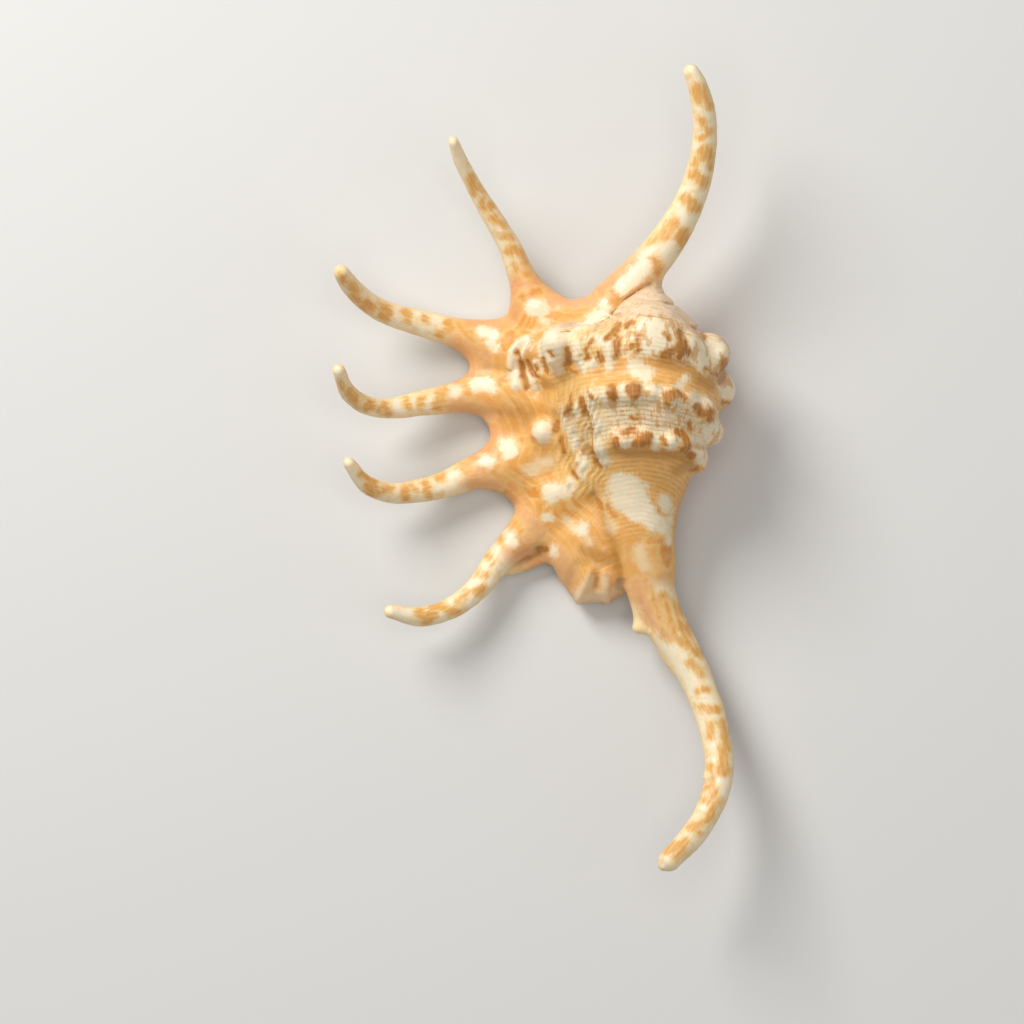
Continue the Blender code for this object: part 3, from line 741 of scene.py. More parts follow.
def normals_of(points, triangles):
    """Unit normal at each point: the sum of its triangles' cross products, which weighs them by area."""
    a, b, c = (points[triangles[:, k]] for k in range(3))
    cross = np.cross(b - a, c - a)
    total = np.column_stack(
        [np.bincount(triangles.ravel(), np.repeat(cross[:, k], 3), len(points)) for k in range(3)]
    )
    return total / np.maximum(np.linalg.norm(total, axis=1), 1e-12)[:, None]


def refined(points, triangles, wanted):
    """Halve each edge that has both ends wanted, and part the triangles to match."""
    edges, which = edges_of(triangles)
    halved = wanted[edges].all(1)
    number = np.full(len(edges), -1)
    number[halved] = len(points) + np.arange(halved.sum())
    points = np.vstack([points, points[edges[halved]].mean(1)])
    halves = number[which]
    count = (halves >= 0).sum(1)
    first = np.where(count == 2, (np.argmin(halves >= 0, axis=1) + 1) % 3, np.argmax(halves >= 0, axis=1))
    order = (first[:, None] + np.arange(3)) % 3
    corner = np.take_along_axis(triangles, order, 1)
    half = np.take_along_axis(halves, order, 1)
    a, b, c = corner.T
    ab, bc, ca = half.T
    parts = {
        0: [(a, b, c)],
        1: [(a, ab, c), (ab, b, c)],
        2: [(ab, b, bc), (a, ab, bc), (a, bc, c)],
        3: [(a, ab, ca), (ab, b, bc), (ca, bc, c), (ab, bc, ca)],
    }
    made = [np.column_stack(part)[count == cuts] for cuts, group in parts.items() for part in group]
    return points, np.vstack(made)


normals = normals_of(skin, triangles)
x, y, z = skin.T
on_back = (x > BACK_LEFT_X) | ((x > SHOULDER_LEFT_X) & (y > SHOULDER_LOW_Y))
on_back &= (y > BACK_LOW_Y) & (y < BACK_HIGH_Y) & (normals[:, 2] > -0.15) & (z > 5.5)
on_back &= hollow_field(skin) > 1.5
skin, triangles = refined(skin, triangles, on_back)
skin = on_skin(skin, 1)
print(len(triangles), "triangles with the back refined")

# %% [markdown]
# ## Coordinates that grow with the shell
# A shell is laid down along its edge, so its cords and colours follow the growth and not the room's X and
# Y. Each point gets a spiral coordinate, which is the same all along one cord, and a coordinate round the
# whorl. On a finger it gets the distance from the tip and the angle round it. The cords and the noise of the
# colours below are written in these coordinates.

# %% Growth coordinates
CORD_DROP = [  # lean, how far a cord drops below its highest point
    (-180, 8.0), (-66, 3.0), (-30, 0.8), (-5, 0.0), (20, 1.4),
    (47, 4.4), (85, 9.0), (110, 12.0), (180, 16.0),
]
CORD_DROP_LOW_SHARE = 0.62
AROUND_RADIUS = 18.0
LIP_FAN_MIDDLE = (26.4, 5.0)
LIP_FAN_RADIUS = 24.0

x, y, z = skin.T
axis_x, axis_z, radius, reach, _slope = whorl_at(y)
squeezed = np.where(x < axis_x, (x - axis_x) * radius / reach, x - axis_x)
lean = np.arctan2(squeezed, z - axis_z)
drop = np.interp(np.degrees(lean), *np.array(CORD_DROP).T)
spiral = y + drop * (CORD_DROP_LOW_SHARE + (1 - CORD_DROP_LOW_SHARE) * smooth_step(y, 6.0, 20.0))
around = AROUND_RADIUS * lean


def limb_coordinates(points, rows):
    """Distance from the tip along a route, angle round it from the upward side, and distance to its skin."""
    lengths = np.linalg.norm(np.diff(rows[:, :3], axis=0), axis=1)
    to_tip = lengths[::-1].cumsum()[::-1]
    best = np.full(len(points), np.inf)
    along = np.zeros(len(points))
    angle = np.zeros(len(points))
    for start, end, length, left in zip(rows[:-1], rows[1:], lengths, to_tip):
        line = (end - start)[:3] / length
        offset = points - start[:3]
        share = np.clip(offset @ line / length, 0.0, 1.0)
        offset -= (share * length)[:, None] * line
        distance = np.linalg.norm(offset, axis=1) - start[3] - share * (end[3] - start[3])
        side = np.cross(line, (0.0, 0.0, 1.0))
        side /= np.linalg.norm(side)
        closer = distance < best
        turned = np.arctan2(offset @ side, offset @ np.cross(side, line))
        along = np.where(closer, left - share * length, along)
        angle = np.where(closer, turned, angle)
        best = np.minimum(best, distance)
    return along, angle, best


rest = np.minimum(lip_field(skin), back_field(skin))
finger = np.zeros(len(skin))
finger_along = np.full(len(skin), 60.0)
finger_angle = np.zeros(len(skin))
finger_seed = np.zeros(len(skin))
for seed, rows in enumerate(limb_routes.values()):
    here = near(skin, rows, 2.0)
    along, angle, distance = limb_coordinates(skin[here], rows)
    share = smooth_step(rest[here] - distance, -0.5, 2.5)
    nearer = share > finger[here]
    chosen = here[nearer]
    finger[chosen] = share[nearer]
    finger_along[chosen] = along[nearer]
    finger_angle[chosen] = angle[nearer]
    finger_seed[chosen] = seed
print("points on fingers and canal:", int((finger > 0.5).sum()))

# %% [markdown]
# ## Regions
# The back, the lip, the underside and the hollow each have their own surface. A region is a weight from 0
# to 1 at every point, made from the same fields and with soft borders. The distance inside the lip's margin
# is read from the plan map, but that map ends at the root, so right of it the plain distance takes over.

# %% Region weights
normals = normals_of(skin, triangles)
edge_distance = -from_map(edge_map, skin[:, :2])
margin_distance = line_distance(skin[:, :2], margin[::2, :2])
past_root = smooth_step(x, LIP_ROOT_X - 2.5, LIP_ROOT_X - 1.5)
past_root *= between(y, (-28.0, -14.0), (40.0, 48.0))
edge_distance += past_root * (margin_distance - edge_distance)
whorl_share = smooth_step(lip_field(skin) - back_field(skin), -0.8, 1.2) * (1 - finger)
faces_up = smooth_step(normals[:, 2], -0.35, 0.05)
in_hollow = 1 - smooth_step(np.minimum(hollow_field(skin), groove_field(skin)), 0.2, 1.8)
under = (1 - faces_up) * smooth_step(14.0 - z, -4.0, 4.0)
under = np.maximum(under, in_hollow)
lip_share = (1 - whorl_share) * (1 - finger)
top = 1 - under
for name, weight in (("whorl", whorl_share), ("lip", lip_share), ("fingers", finger), ("underside", under)):
    print(f"{name}: {weight.mean():.0%} of the points")

# %% [markdown]
# ## Places read on the photo
# Single knobs, ridges and coloured marks have no rule. They are where they grew. Each is given as a short
# stroke: a half width and the places it runs through, as they were read on the photo in its own pixels.
# One pixel is a quarter of a millimetre. A stroke only says where a mark is. Noise makes its edge ragged.

# %% Strokes
MM_PER_PIXEL = 0.25
PHOTO_MIDDLE = (534.5, 469.0)
STROKE_REACH = 3.0


def stroke_distance(places, reach):
    """Numbers of the points within reach of a stroke, and their distance from it in the plan."""
    line = (np.asarray(places, float) - PHOTO_MIDDLE) * (MM_PER_PIXEL, -MM_PER_PIXEL)
    if len(line) == 1:
        line = np.vstack([line, line + 0.01])
    spots = skin[:, :2]
    here = np.flatnonzero(((spots > line.min(0) - reach) & (spots < line.max(0) + reach)).all(1))
    return here, line_distance(spots[here], line)


def painted_strokes(rows):
    """Distance inside the border of the nearest stroke, in millimetres, and negative outside it."""
    inside = np.full(len(skin), -STROKE_REACH)
    for half_width, *places in rows:
        width = half_width * MM_PER_PIXEL
        here, distance = stroke_distance(places, width + STROKE_REACH)
        inside[here] = np.maximum(inside[here], width - distance)
    return inside


def raised_strokes(rows):
    """Sum of height * exp(-(distance / width)^2), for rows of height in millimetres, width and places."""
    total = np.zeros(len(skin))
    for height, half_width, *places in rows:
        width = half_width * MM_PER_PIXEL
        here, distance = stroke_distance(places, 2.5 * width)
        total[here] += height * np.exp(-((distance / width) ** 2))
    return total


# %% [markdown]
# ## Relief
# On the base lie the spiral cords, the knobs and folds of the shoulder, the rough ridges in the valley
# between whorl and lip, the seam where the lip is glued over the spire, the ribs at the rim of the lobe, and
# a faint groove under every finger. All of it is one height in millimetres at each point, along the normal.
# The seam and the suture are left out where the skin is steep, because a stroke's distance is measured in
# the plan. At the end the crest is eased down to the top of the frame's box.

# %% Relief heights
CORD_SPACING = 1.15
CORD_HEIGHT = 0.035
BEADED_EDGE_GAIN = 4.0
WRINKLE_SPACING = 1.7
WRINKLE_HEIGHT = 0.13
SPIRE_BUMPS = (1.6, 21, 0.22)  # size, seed, height
SKIN_BUMPS = [(6.0, 1, 0.18), (2.2, 2, 0.08)]
SEAM_GROOVE = (0.5, 0.6)  # depth, width
SUTURE_GROOVE = (0.25, 0.7)
FINGER_GROOVE = (0.35, 0.30)  # depth, width as an angle
CREST_SOFTNESS = 1.0
WRINKLED = [(34, (574, 400), (580, 470)), (26, (585, 345), (606, 338))]  # half width, places
RIDGES = [  # height, width, places
    (2.0, 11, (556, 342)),
    (1.2, 4.5, (511, 366), (512, 352), (518, 343), (528, 339)),
    (0.7, 3, (521, 358), (525, 349), (531, 342)),
    (0.8, 10, (530, 356)),
    (-0.5, 2.2, (518, 352), (522, 362), (524, 376), (527, 388)),
    (0.9, 5, (516, 372), (516, 384)),
    (0.7, 3, (529, 370), (533, 388)),
    (-0.4, 2, (529, 361), (534, 373), (538, 378)),
    (0.5, 2.6, (537, 362), (537, 374)),
    (-0.4, 2.4, (544, 359), (547, 372)),
    (0.9, 5, (552, 360), (557, 368)),
    (-1.4, 9, (536, 390), (552, 390), (566, 380)),
    (-0.6, 5, (570, 366), (578, 372)),
    (0.4, 4.5, (577, 344), (576, 358), (584, 368), (595, 363)),
    (0.45, 6, (602, 342), (611, 354), (609, 368)),
    (-0.35, 3, (587, 350), (588, 360)),
    (-0.3, 3.5, (617, 338), (617, 356)),
    (0.35, 3, (594, 340), (606, 331), (618, 325)),
    (0.3, 2.4, (581, 338), (594, 329), (606, 322)),
    (-0.7, 4.5, (623, 332), (624, 354)),
    (-0.6, 5, (568, 350), (568, 364)),
    (-0.8, 5, (684, 332), (690, 358)),
    (-0.6, 9, (600, 376), (640, 371), (672, 373), (700, 386)),
    (0.6, 6, (722, 353)),
    (0.8, 6.5, (611, 392)),
    (0.9, 7.5, (633, 390)),
    (0.5, 5, (652, 391)),
    (0.8, 6.5, (668, 397)),
    (0.5, 5, (686, 398)),
    (0.8, 6.5, (703, 407)),
    (0.55, 6, (624, 441)),
    (0.6, 7, (643, 440)),
    (0.55, 6, (671, 441)),
    (0.6, 5.5, (686, 446)),
    (0.7, 6.5, (699, 452)),
    (0.55, 4.5, (590, 396), (590, 410), (596, 430), (597, 448), (604, 462)),
    (0.5, 3.6, (565, 406), (567, 424), (573, 444), (578, 460)),
    (0.45, 3, (577, 408), (581, 430), (584, 450)),
    (0.45, 6, (582, 466)),
    (0.35, 4, (571, 482)),
    (-0.45, 2.6, (584, 402), (589, 428), (591, 452), (598, 466)),
    (-0.4, 2.6, (572, 412), (576, 432), (579, 450)),
    (-0.3, 4.5, (555, 402), (557, 428), (562, 454), (571, 474), (584, 486)),
    (-0.9, 5.5, (592, 497), (603, 522), (613, 550), (621, 582)),
    (0.5, 9, (543, 431)),
    (0.4, 8, (507, 447)),
    (0.4, 8, (537, 307)),
    (0.35, 8, (556, 492)),
    (1.0, 4.5, (590, 572), (585, 586), (579, 601)),
    (1.0, 4.5, (605, 574), (607, 600)),
    (-0.6, 3.5, (597, 580), (594, 600)),
    (-0.5, 5.0, (570, 586), (578, 566)),
    (0.35, 2.4, (592, 593), (599, 594)),
    (-0.9, 3.2, (707, 783), (713, 779)),
    (0.6, 2.6, (704, 777)),
    (-0.4, 3.0, (661, 862), (668, 868)),
    (0.4, 3.5, (659, 868)),
    (-0.3, 3.5, (640, 604), (650, 628)),
    (0.3, 3.5, (650, 600), (662, 632)),
]
SEAM = (0.0, (560, 333), (575, 330), (593, 324), (608, 316), (624, 300), (638, 291), (652, 283))
SUTURES = [
    (0.0, (608, 316), (621, 313), (641, 316), (662, 318), (683, 322)),
    (0.0, (676, 328), (690, 334), (705, 343)),
]

def groove(distance, depth, width):
    """A rounded groove: depth * exp(-(distance / width)^2)."""
    return depth * np.exp(-((distance / width) ** 2))


relief = raised_strokes(RIDGES) * top

cord_zone = whorl_share * top * between(y, (-22.0, -14.0), (36.0, 40.0))
cords = np.cos(2 * math.pi * (spiral + 0.12 * soft_noise(skin, 4.0, 3)) / CORD_SPACING)
beaded_edge = smooth_step(x, 31.5, 34.5) * between(y, (-19.0, -16.0), (-6.0, -2.0))
cord_heights = CORD_HEIGHT * (0.5 + 0.5 * smooth_step(y, -4.0, 8.0) + BEADED_EDGE_GAIN * beaded_edge)
relief += cord_heights * cords * cord_zone * (1 + 0.6 * soft_noise(skin, 3.0, 4))

wrinkle_zone = smooth_step(painted_strokes(WRINKLED), 0.0, 4.0)
wrinkles = np.cos(2 * math.pi * (x - 0.3 * y + 1.2 * soft_noise(skin, 4.0, 11)) / WRINKLE_SPACING)
relief += WRINKLE_HEIGHT * wrinkles * wrinkle_zone * top

size, seed, bump_height = SPIRE_BUMPS
spire_zone = whorl_share * top * smooth_step(spiral, 36.0, 38.0)
relief += bump_height * soft_noise(skin * (0.5, 1.5, 1.0), size, seed) * spire_zone
for size, seed, bump_height in SKIN_BUMPS:
    relief += bump_height * soft_noise(skin, size, seed) * (1 - 0.7 * under)

steep = STROKE_REACH * (1 - smooth_step(normals[:, 2], 0.3, 0.6))
seam_distance = steep - painted_strokes([SEAM])
suture_distance = steep - painted_strokes(SUTURES)
below = np.abs(finger_angle) - math.pi
relief -= groove(seam_distance, *SEAM_GROOVE) * top
relief -= groove(suture_distance, *SUTURE_GROOVE) * top
relief -= groove(below, *FINGER_GROOVE) * finger * smooth_step(finger_along, 1.0, 6.0)
relief *= smooth_step(z, 0.0, 1.2)
shell_points = skin + relief[:, None] * normals
shell_points[:, 2] = np.maximum(shell_points[:, 2], 0.0)
crest = 1000 * cad_box[1][2] - CREST_SOFTNESS
above = np.maximum(shell_points[:, 2] - crest, 0.0)
shell_points[:, 2] += CREST_SOFTNESS * np.tanh(above / CREST_SOFTNESS) - above
print("relief from", round(float(relief.min()), 2), "to", round(float(relief.max()), 2), "mm")

# %% How deep each point lies in a hollow, which sets the painted shade there
shell_edges, _which = edges_of(triangles)
smoothed = shell_points
for _round in range(14):
    smoothed = smoothed + 0.6 * (mean_of_neighbours(smoothed, shell_edges) - smoothed)
sunk = ((smoothed - shell_points) * normals).sum(1)
for _round in range(2):
    sunk = mean_of_neighbours(sunk, shell_edges)
print("sunk by up to", round(float(sunk.max()), 2), "mm")

# %% [markdown]
# ## Markings
# The shell is marked with ochre bars on its fingers, brown flames on its knobs, and white, orange and peach
# patches. Golden-brown painted shade lies under the knobs and in the valleys, and a few of the peach strokes
# are painted shade on the lower side of the lip. They lie at known places, so they are strokes too, one list
# for each colour. The chalky bands on the whorl follow the cords, so those are ranges of the spiral
# coordinate. On the underside every stroke is pushed out of reach.

# %% Markings that lie at known places
OCHRE_MARKS = [  # half width, places; the posterior finger comes first
    (6.5, (697, 92), (699, 98)), (3.5, (704, 99), (707, 107)), (2.4, (701, 122), (705, 130), (708, 134)),
    (2.0, (700, 140), (706, 136)), (6.5, (704, 154), (706, 157)), (2.6, (698, 160), (694, 166)),
    (2.6, (709, 162), (710, 168)), (4.2, (693, 176), (698, 180), (703, 182)),
    (4.4, (685, 199), (690, 202), (694, 209)), (5.5, (673, 224), (666, 234), (654, 244)),
    (6.0, (682, 235), (679, 245)),
    (3.4, (471, 178), (473, 185), (474, 192)), (1.6, (479, 187), (482, 191)), (1.4, (482, 200), (484, 208)),
    (2.2, (490, 205), (492, 207)), (1.8, (491, 218), (496, 216)), (2.4, (495, 221), (500, 222), (504, 226)),
    (2.2, (505, 235), (511, 238)), (3.6, (509, 251), (516, 250), (521, 254)), (1.8, (523, 256), (526, 261)),
    (1.8, (514, 264), (517, 270)), (3.2, (526, 275), (528, 274)),
    (2.4, (341, 275), (344, 281)), (3.2, (352, 287), (356, 292)), (3.0, (352, 297), (357, 301)),
    (3.8, (366, 303), (372, 308)), (2.2, (360, 306), (366, 311)), (4.8, (385, 309), (387, 311)),
    (3.0, (382, 315), (385, 316)), (3.4, (405, 312), (408, 314)), (2.0, (407, 319), (408, 321)),
    (2.2, (424, 318), (426, 321)), (4.4, (448, 323), (451, 328)), (3.0, (438, 333), (441, 335)),
    (2.6, (458, 324), (461, 327)), (4.4, (469, 333), (472, 337)),
    (2.0, (340, 384), (343, 388)), (3.6, (350, 393), (353, 399)), (2.6, (355, 402), (357, 406)),
    (3.4, (367, 407), (371, 405)), (1.4, (379, 411)), (2.4, (385, 404), (386, 409), (389, 413)),
    (1.6, (406, 399), (407, 404), (410, 407)), (3.0, (421, 398), (420, 404)),
    (4.2, (440, 394), (441, 400), (437, 405)), (3.4, (447, 392), (452, 390)), (3.8, (466, 387), (467, 393)),
    (2.6, (362, 475), (370, 479), (374, 481)), (3.8, (369, 486), (371, 493)), (2.4, (376, 489), (378, 492)),
    (2.4, (384, 489), (391, 489)), (3.4, (405, 489), (406, 497)), (2.2, (411, 486), (415, 490)),
    (2.4, (425, 482), (426, 490), (430, 496)), (2.8, (438, 478), (443, 476)), (4.6, (459, 470), (468, 467)),
    (4.4, (420, 614), (426, 620), (432, 614)), (3.2, (432, 607), (440, 606)), (2.8, (443, 607), (449, 612)),
    (2.4, (450, 613), (457, 612)), (2.4, (464, 597), (467, 592)), (1.8, (457, 601)),
    (2.8, (475, 592), (482, 589)), (2.4, (479, 574), (486, 575)), (2.0, (491, 564)),
    (2.2, (487, 556), (490, 558)), (2.6, (500, 538), (500, 546)), (3.6, (516, 524), (519, 530)),
    (3.6, (681, 608), (683, 612)), (3.6, (688, 628), (688, 633)), (3.6, (681, 640), (688, 647)),
    (3.2, (694, 650), (702, 654)), (3.0, (690, 663), (697, 668)), (1.6, (700, 672), (703, 676)),
    (1.2, (697, 692), (703, 690), (709, 690)), (2.6, (701, 706), (708, 711), (718, 710)),
    (2.2, (711, 725), (712, 738)), (2.6, (722, 722), (726, 740), (728, 748)), (3.6, (722, 748), (723, 765)),
    (4.2, (712, 768), (725, 771)), (1.2, (704, 790), (712, 780)), (3.4, (712, 788), (713, 793)),
    (2.0, (704, 800), (709, 801)), (2.6, (716, 802), (712, 812), (707, 819)), (3.4, (691, 827), (698, 824)),
    (1.8, (699, 832)), (4.4, (667, 849), (676, 846)), (2.6, (678, 845), (685, 840)),
    (2.4, (675, 856), (682, 849)), (1.8, (674, 604), (681, 622), (684, 640)),
    (1.4, (662, 596), (669, 616), (674, 634)), (1.2, (652, 592), (658, 612), (664, 628)),
]
ORANGE_MARKS = [
    (8.0, (506, 343), (512, 338)), (7.0, (650, 262), (656, 268)), (6.0, (611, 300), (618, 292)),
    (4.6, (523, 298), (530, 294), (539, 291)), (5.0, (501, 381), (505, 379)), (3.4, (490, 378)),
    (5.0, (528, 491), (540, 494)), (4.0, (522, 441), (534, 438)), (6.0, (665, 548), (667, 560)),
    (4.0, (650, 540), (664, 541)), (5.0, (610, 507), (613, 515)), (4.0, (646, 497), (652, 507), (664, 514)),
    (3.6, (668, 525), (669, 534)), (3.0, (596, 499), (600, 508)),
]
BROWN_MARKS = [
    (2.0, (523, 362), (523, 374), (526, 388)), (1.8, (528, 360), (533, 372), (538, 377)),
    (2.0, (544, 359), (547, 372)), (1.2, (537, 364), (539, 370)), (1.4, (518, 352), (522, 362)),
    (2.2, (567, 350), (568, 360), (566, 366)), (1.6, (566, 370), (576, 374)), (1.2, (551, 351), (554, 354)),
    (1.2, (585, 352), (588, 345), (593, 341)), (2.8, (587, 358)), (2.2, (598, 353), (601, 362)),
    (2.4, (606, 340), (613, 333), (619, 325)), (3.0, (616, 342), (616, 357)), (2.0, (612, 334), (618, 338)),
    (3.2, (626, 326), (631, 323)), (3.0, (631, 348), (636, 346), (639, 336)), (2.0, (634, 352), (639, 351)),
    (1.4, (630, 333), (636, 334)), (1.6, (664, 334), (668, 340)),
    (4.0, (663, 356), (673, 352), (680, 346), (679, 334)), (2.6, (685, 342), (689, 355)),
    (3.0, (684, 350), (678, 357)), (1.6, (700, 332), (704, 339)),
    (3.4, (724, 362), (724, 370), (721, 381)), (2.0, (710, 373), (718, 376)), (2.0, (705, 369), (709, 371)),
    (2.2, (570, 396), (570, 404), (567, 414)), (2.4, (580, 399), (584, 411), (589, 417)),
    (1.4, (591, 424), (592, 440), (591, 452)), (2.2, (591, 448), (594, 458), (599, 466)),
    (3.0, (556, 422), (556, 430)), (1.8, (561, 438), (564, 452)), (1.6, (571, 470), (577, 478)),
    (5.5, (611, 390), (612, 395)), (6.0, (631, 390), (634, 392)), (1.8, (645, 394)),
    (4.6, (666, 396), (670, 396)), (2.2, (665, 402), (668, 405)), (1.6, (676, 392), (684, 399)),
    (3.4, (696, 408), (701, 414)), (4.0, (709, 413), (709, 419)), (1.4, (630, 417), (635, 420)),
    (1.2, (588, 392), (592, 398)),
    (3.2, (616, 440), (616, 446)), (3.0, (622, 433), (632, 430), (640, 436), (649, 436)),
    (4.2, (636, 443), (646, 442)), (2.2, (662, 438), (664, 444)), (3.4, (676, 432), (684, 436), (687, 446)),
    (3.6, (683, 450), (691, 456)), (2.0, (692, 470), (697, 468)), (1.6, (688, 424), (690, 430)),
    (1.6, (723, 402), (730, 403)), (3.0, (539, 550), (546, 549)),
]
WHITE_MARKS = [
    (7.5, (535, 307), (541, 309)), (2.2, (540, 317), (549, 321)), (5.5, (484, 331), (492, 334)),
    (3.6, (490, 341), (496, 347)), (5.5, (477, 384), (489, 385)), (4.0, (492, 389)),
    (3.8, (453, 391), (457, 392)), (6.5, (516, 375), (516, 382)), (7.0, (506, 445), (508, 450)),
    (8.6, (543, 431)), (4.6, (484, 459), (490, 463)), (4.2, (452, 475), (456, 473)),
    (4.4, (508, 536), (512, 541)), (3.0, (495, 548)),
    (6.6, (549, 493), (556, 490), (563, 491)), (4.6, (551, 499)), (3.4, (580, 531), (585, 527)),
    (2.4, (553, 548), (553, 554)), (1.8, (546, 519), (550, 517)), (5.0, (583, 460), (581, 474)),
    (3.6, (570, 482), (573, 485)), (2.6, (577, 328), (588, 323)), (4.4, (592, 320), (606, 310)),
    (7.0, (624, 287), (634, 276), (644, 267)), (2.4, (640, 257), (652, 251), (660, 246)),
    (5.5, (668, 252), (672, 249)), (11.5, (556, 343)), (6.0, (546, 345), (548, 356)),
    (5.0, (570, 338)), (4.6, (552, 362), (557, 369)),
    (2.4, (513, 361), (514, 351), (520, 343), (528, 340)), (1.2, (521, 358), (525, 349), (531, 342)),
    (3.0, (529, 370), (531, 378), (533, 388)), (2.0, (537, 362), (536, 374)), (1.4, (541, 361), (541, 371)),
    (4.0, (576, 344), (575, 358), (583, 368), (594, 364)),
    (4.6, (598, 341), (607, 345), (611, 356), (608, 366)),
    (14.0, (650, 332), (658, 336)), (6.0, (640, 350), (650, 350)), (6.5, (690, 345), (698, 358), (706, 367)),
    (7.5, (706, 345), (720, 352)), (7.0, (634, 366), (644, 374)), (3.2, (678, 387), (685, 380)),
    (4.4, (591, 396), (589, 408), (594, 418)), (2.6, (603, 395), (607, 402)), (2.2, (622, 388), (622, 398)),
    (3.6, (650, 391), (662, 392)), (4.6, (694, 398), (706, 404)), (9.5, (728, 384), (731, 392)),
    (3.0, (563, 410), (566, 426)), (2.0, (577, 406), (576, 416)), (2.4, (571, 428), (575, 446)),
    (4.6, (598, 424), (597, 446), (604, 461)), (5.0, (622, 441), (629, 439)), (3.0, (655, 436), (655, 446)),
    (5.4, (668, 442), (676, 439)), (6.0, (693, 443), (702, 458)), (8.0, (712, 428), (714, 436)),
    (13.0, (621, 487), (633, 491)), (14.0, (625, 497), (634, 502)), (10.5, (636, 509), (645, 514)),
    (7.0, (650, 519), (660, 524)), (5.0, (664, 528)), (2.6, (669, 520), (669, 540)),
    (5.0, (665, 500), (667, 508)), (3.0, (604, 303)),
]
PALE_MARKS = [
    (5.0, (590, 577), (583, 590), (580, 598)), (4.6, (606, 577), (606, 597)), (9.0, (632, 612), (640, 628)),
    (5.0, (566, 520), (590, 540)), (7.0, (550, 460), (530, 470)), (6.0, (604, 500), (612, 530)),
    (6.0, (638, 550), (644, 566)), (12.0, (655, 330), (664, 340)), (5.5, (578, 594), (592, 598), (618, 590)),
]
# Peach patches; the strokes along the lower side of the lip between the fingers are painted shade.
PEACH_AND_SHADE_MARKS = [
    (12.0, (642, 590), (656, 620)), (7.0, (662, 600), (672, 636)), (6.0, (522, 516), (540, 534)),
    (8.0, (560, 556), (566, 576)), (5.0, (484, 352), (486, 366)), (5.0, (462, 408), (480, 410), (492, 416)),
    (5.0, (475, 482), (500, 484)), (6.0, (545, 302), (592, 300)),
]
# Painted shade: golden-brown shade under the knobs, in the valleys and along the lower side of the lip.
PAINTED_SHADE_MARKS = [
    (9.0, (534, 380), (548, 392), (558, 396)), (6.0, (530, 352), (536, 366)), (6.0, (562, 376), (574, 376)),
    (5.0, (566, 386), (576, 396)), (6.0, (664, 364), (684, 367), (694, 372)), (7.0, (700, 376), (712, 384)),
    (4.0, (616, 452), (650, 453), (684, 458)), (3.0, (558, 410), (560, 440), (570, 468), (586, 486)),
    (2.6, (592, 497), (603, 522), (612, 550), (620, 582)), (5.0, (676, 470), (690, 464)),
    (4.0, (464, 408), (486, 410), (496, 414)), (4.0, (470, 484), (500, 488), (514, 500)),
    (5.0, (584, 548), (596, 556), (608, 560)),
]
CHALK_BANDS = [(28.0, 39.0, -10.0), (7.6, 21.6, 7.0)]  # lowest and highest spiral coordinate, left X
CHALK_SOFT = 1.2
CHALK_SOFT_X = 1.5

chalk = np.zeros(len(skin))
for low, high, left in CHALK_BANDS:
    band = between(spiral, (low - CHALK_SOFT, low + CHALK_SOFT), (high - CHALK_SOFT, high + CHALK_SOFT))
    chalk = np.maximum(chalk, band * smooth_step(x, left - CHALK_SOFT_X, left + CHALK_SOFT_X))
chalk *= whorl_share * top
spire_share = whorl_share * top * smooth_step(spiral, 37.0, 38.5)
lip_turn = LIP_FAN_RADIUS * np.arctan2(y - LIP_FAN_MIDDLE[1], LIP_FAN_MIDDLE[0] - x)
hidden = STROKE_REACH * (1 - top)
marks = {
    "ochre_mark": OCHRE_MARKS,
    "orange_mark": ORANGE_MARKS,
    "brown_mark": BROWN_MARKS,
    "white_mark": WHITE_MARKS,
    "painted_shade_mark": PAINTED_SHADE_MARKS,
    "pale_mark": PALE_MARKS,
    "peach_and_shade_mark": PEACH_AND_SHADE_MARKS,
}
print(sum(len(rows) for rows in marks.values()), "marks in", len(marks), "colours")

attributes = {
    "spiral": spiral,
    "around": around,
    "finger": finger,
    "finger_along": finger_along,
    "finger_side": finger_angle,
    "finger_seed": finger_seed,
    "edge_distance": edge_distance,
    "lip": lip_share,
    "whorl": whorl_share,
    "under": under,
    "throat": in_hollow,
    "cord_zone": cord_zone,
    "chalk": chalk,
    "spire": spire_share,
    "lip_turn": lip_turn,
    "seam_distance": seam_distance + hidden,
    "suture_distance": suture_distance + hidden,
    "sunk": sunk,
    "rough": wrinkle_zone * top,
}
for name, rows in marks.items():
    attributes[name] = painted_strokes(rows) - hidden

# %% [markdown]
# ## The mesh
# The finished points and triangles go into one mesh with one smooth-shaded skin. The coordinates, weights
# and strokes go with it as attributes, so that the material can read them. The piece stands for the plain
# solid "shell" and rides on the only body.

# %% Build the shell
mesh = bpy.data.meshes.new("spider_conch_shell")
mesh.from_pydata((shell_points * MM).tolist(), [], triangles.tolist())
mesh.shade_smooth()
for name, values in attributes.items():
    mesh.attributes.new(name, "FLOAT", "POINT").data.foreach_set("value", values.astype(np.float32))
shell = bpy.data.objects.new("spider_conch_shell", mesh)
bpy.context.scene.collection.objects.link(shell)
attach(shell, "root")
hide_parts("shell")
uses = np.bincount(edges_of(triangles)[1].ravel())
print(len(mesh.polygons), "triangles;", int((uses != 2).sum()), "edges without exactly two faces")

# %% [markdown]
# ## The finish
# The shell is aragonite laid down in thin crossed layers. That gives a satin, slightly translucent
# porcelain look on the back, and a polished glaze where the animal's mantle lay, on the underside and in the
# hollow. The colour is pigment in the outer layer, so it is built up like that: one colour is laid over
# another by an amount from 0 to 1, which comes from the attributes and from noise.


# %% Colours and helpers for nodes
def linear(code):
    """Linear colour from an sRGB hex code."""
    channels = [int(code[k : k + 2], 16) / 255 for k in (1, 3, 5)]
    return tuple(c / 12.92 if c <= 0.04045 else ((c + 0.055) / 1.055) ** 2.4 for c in channels) + (1.0,)


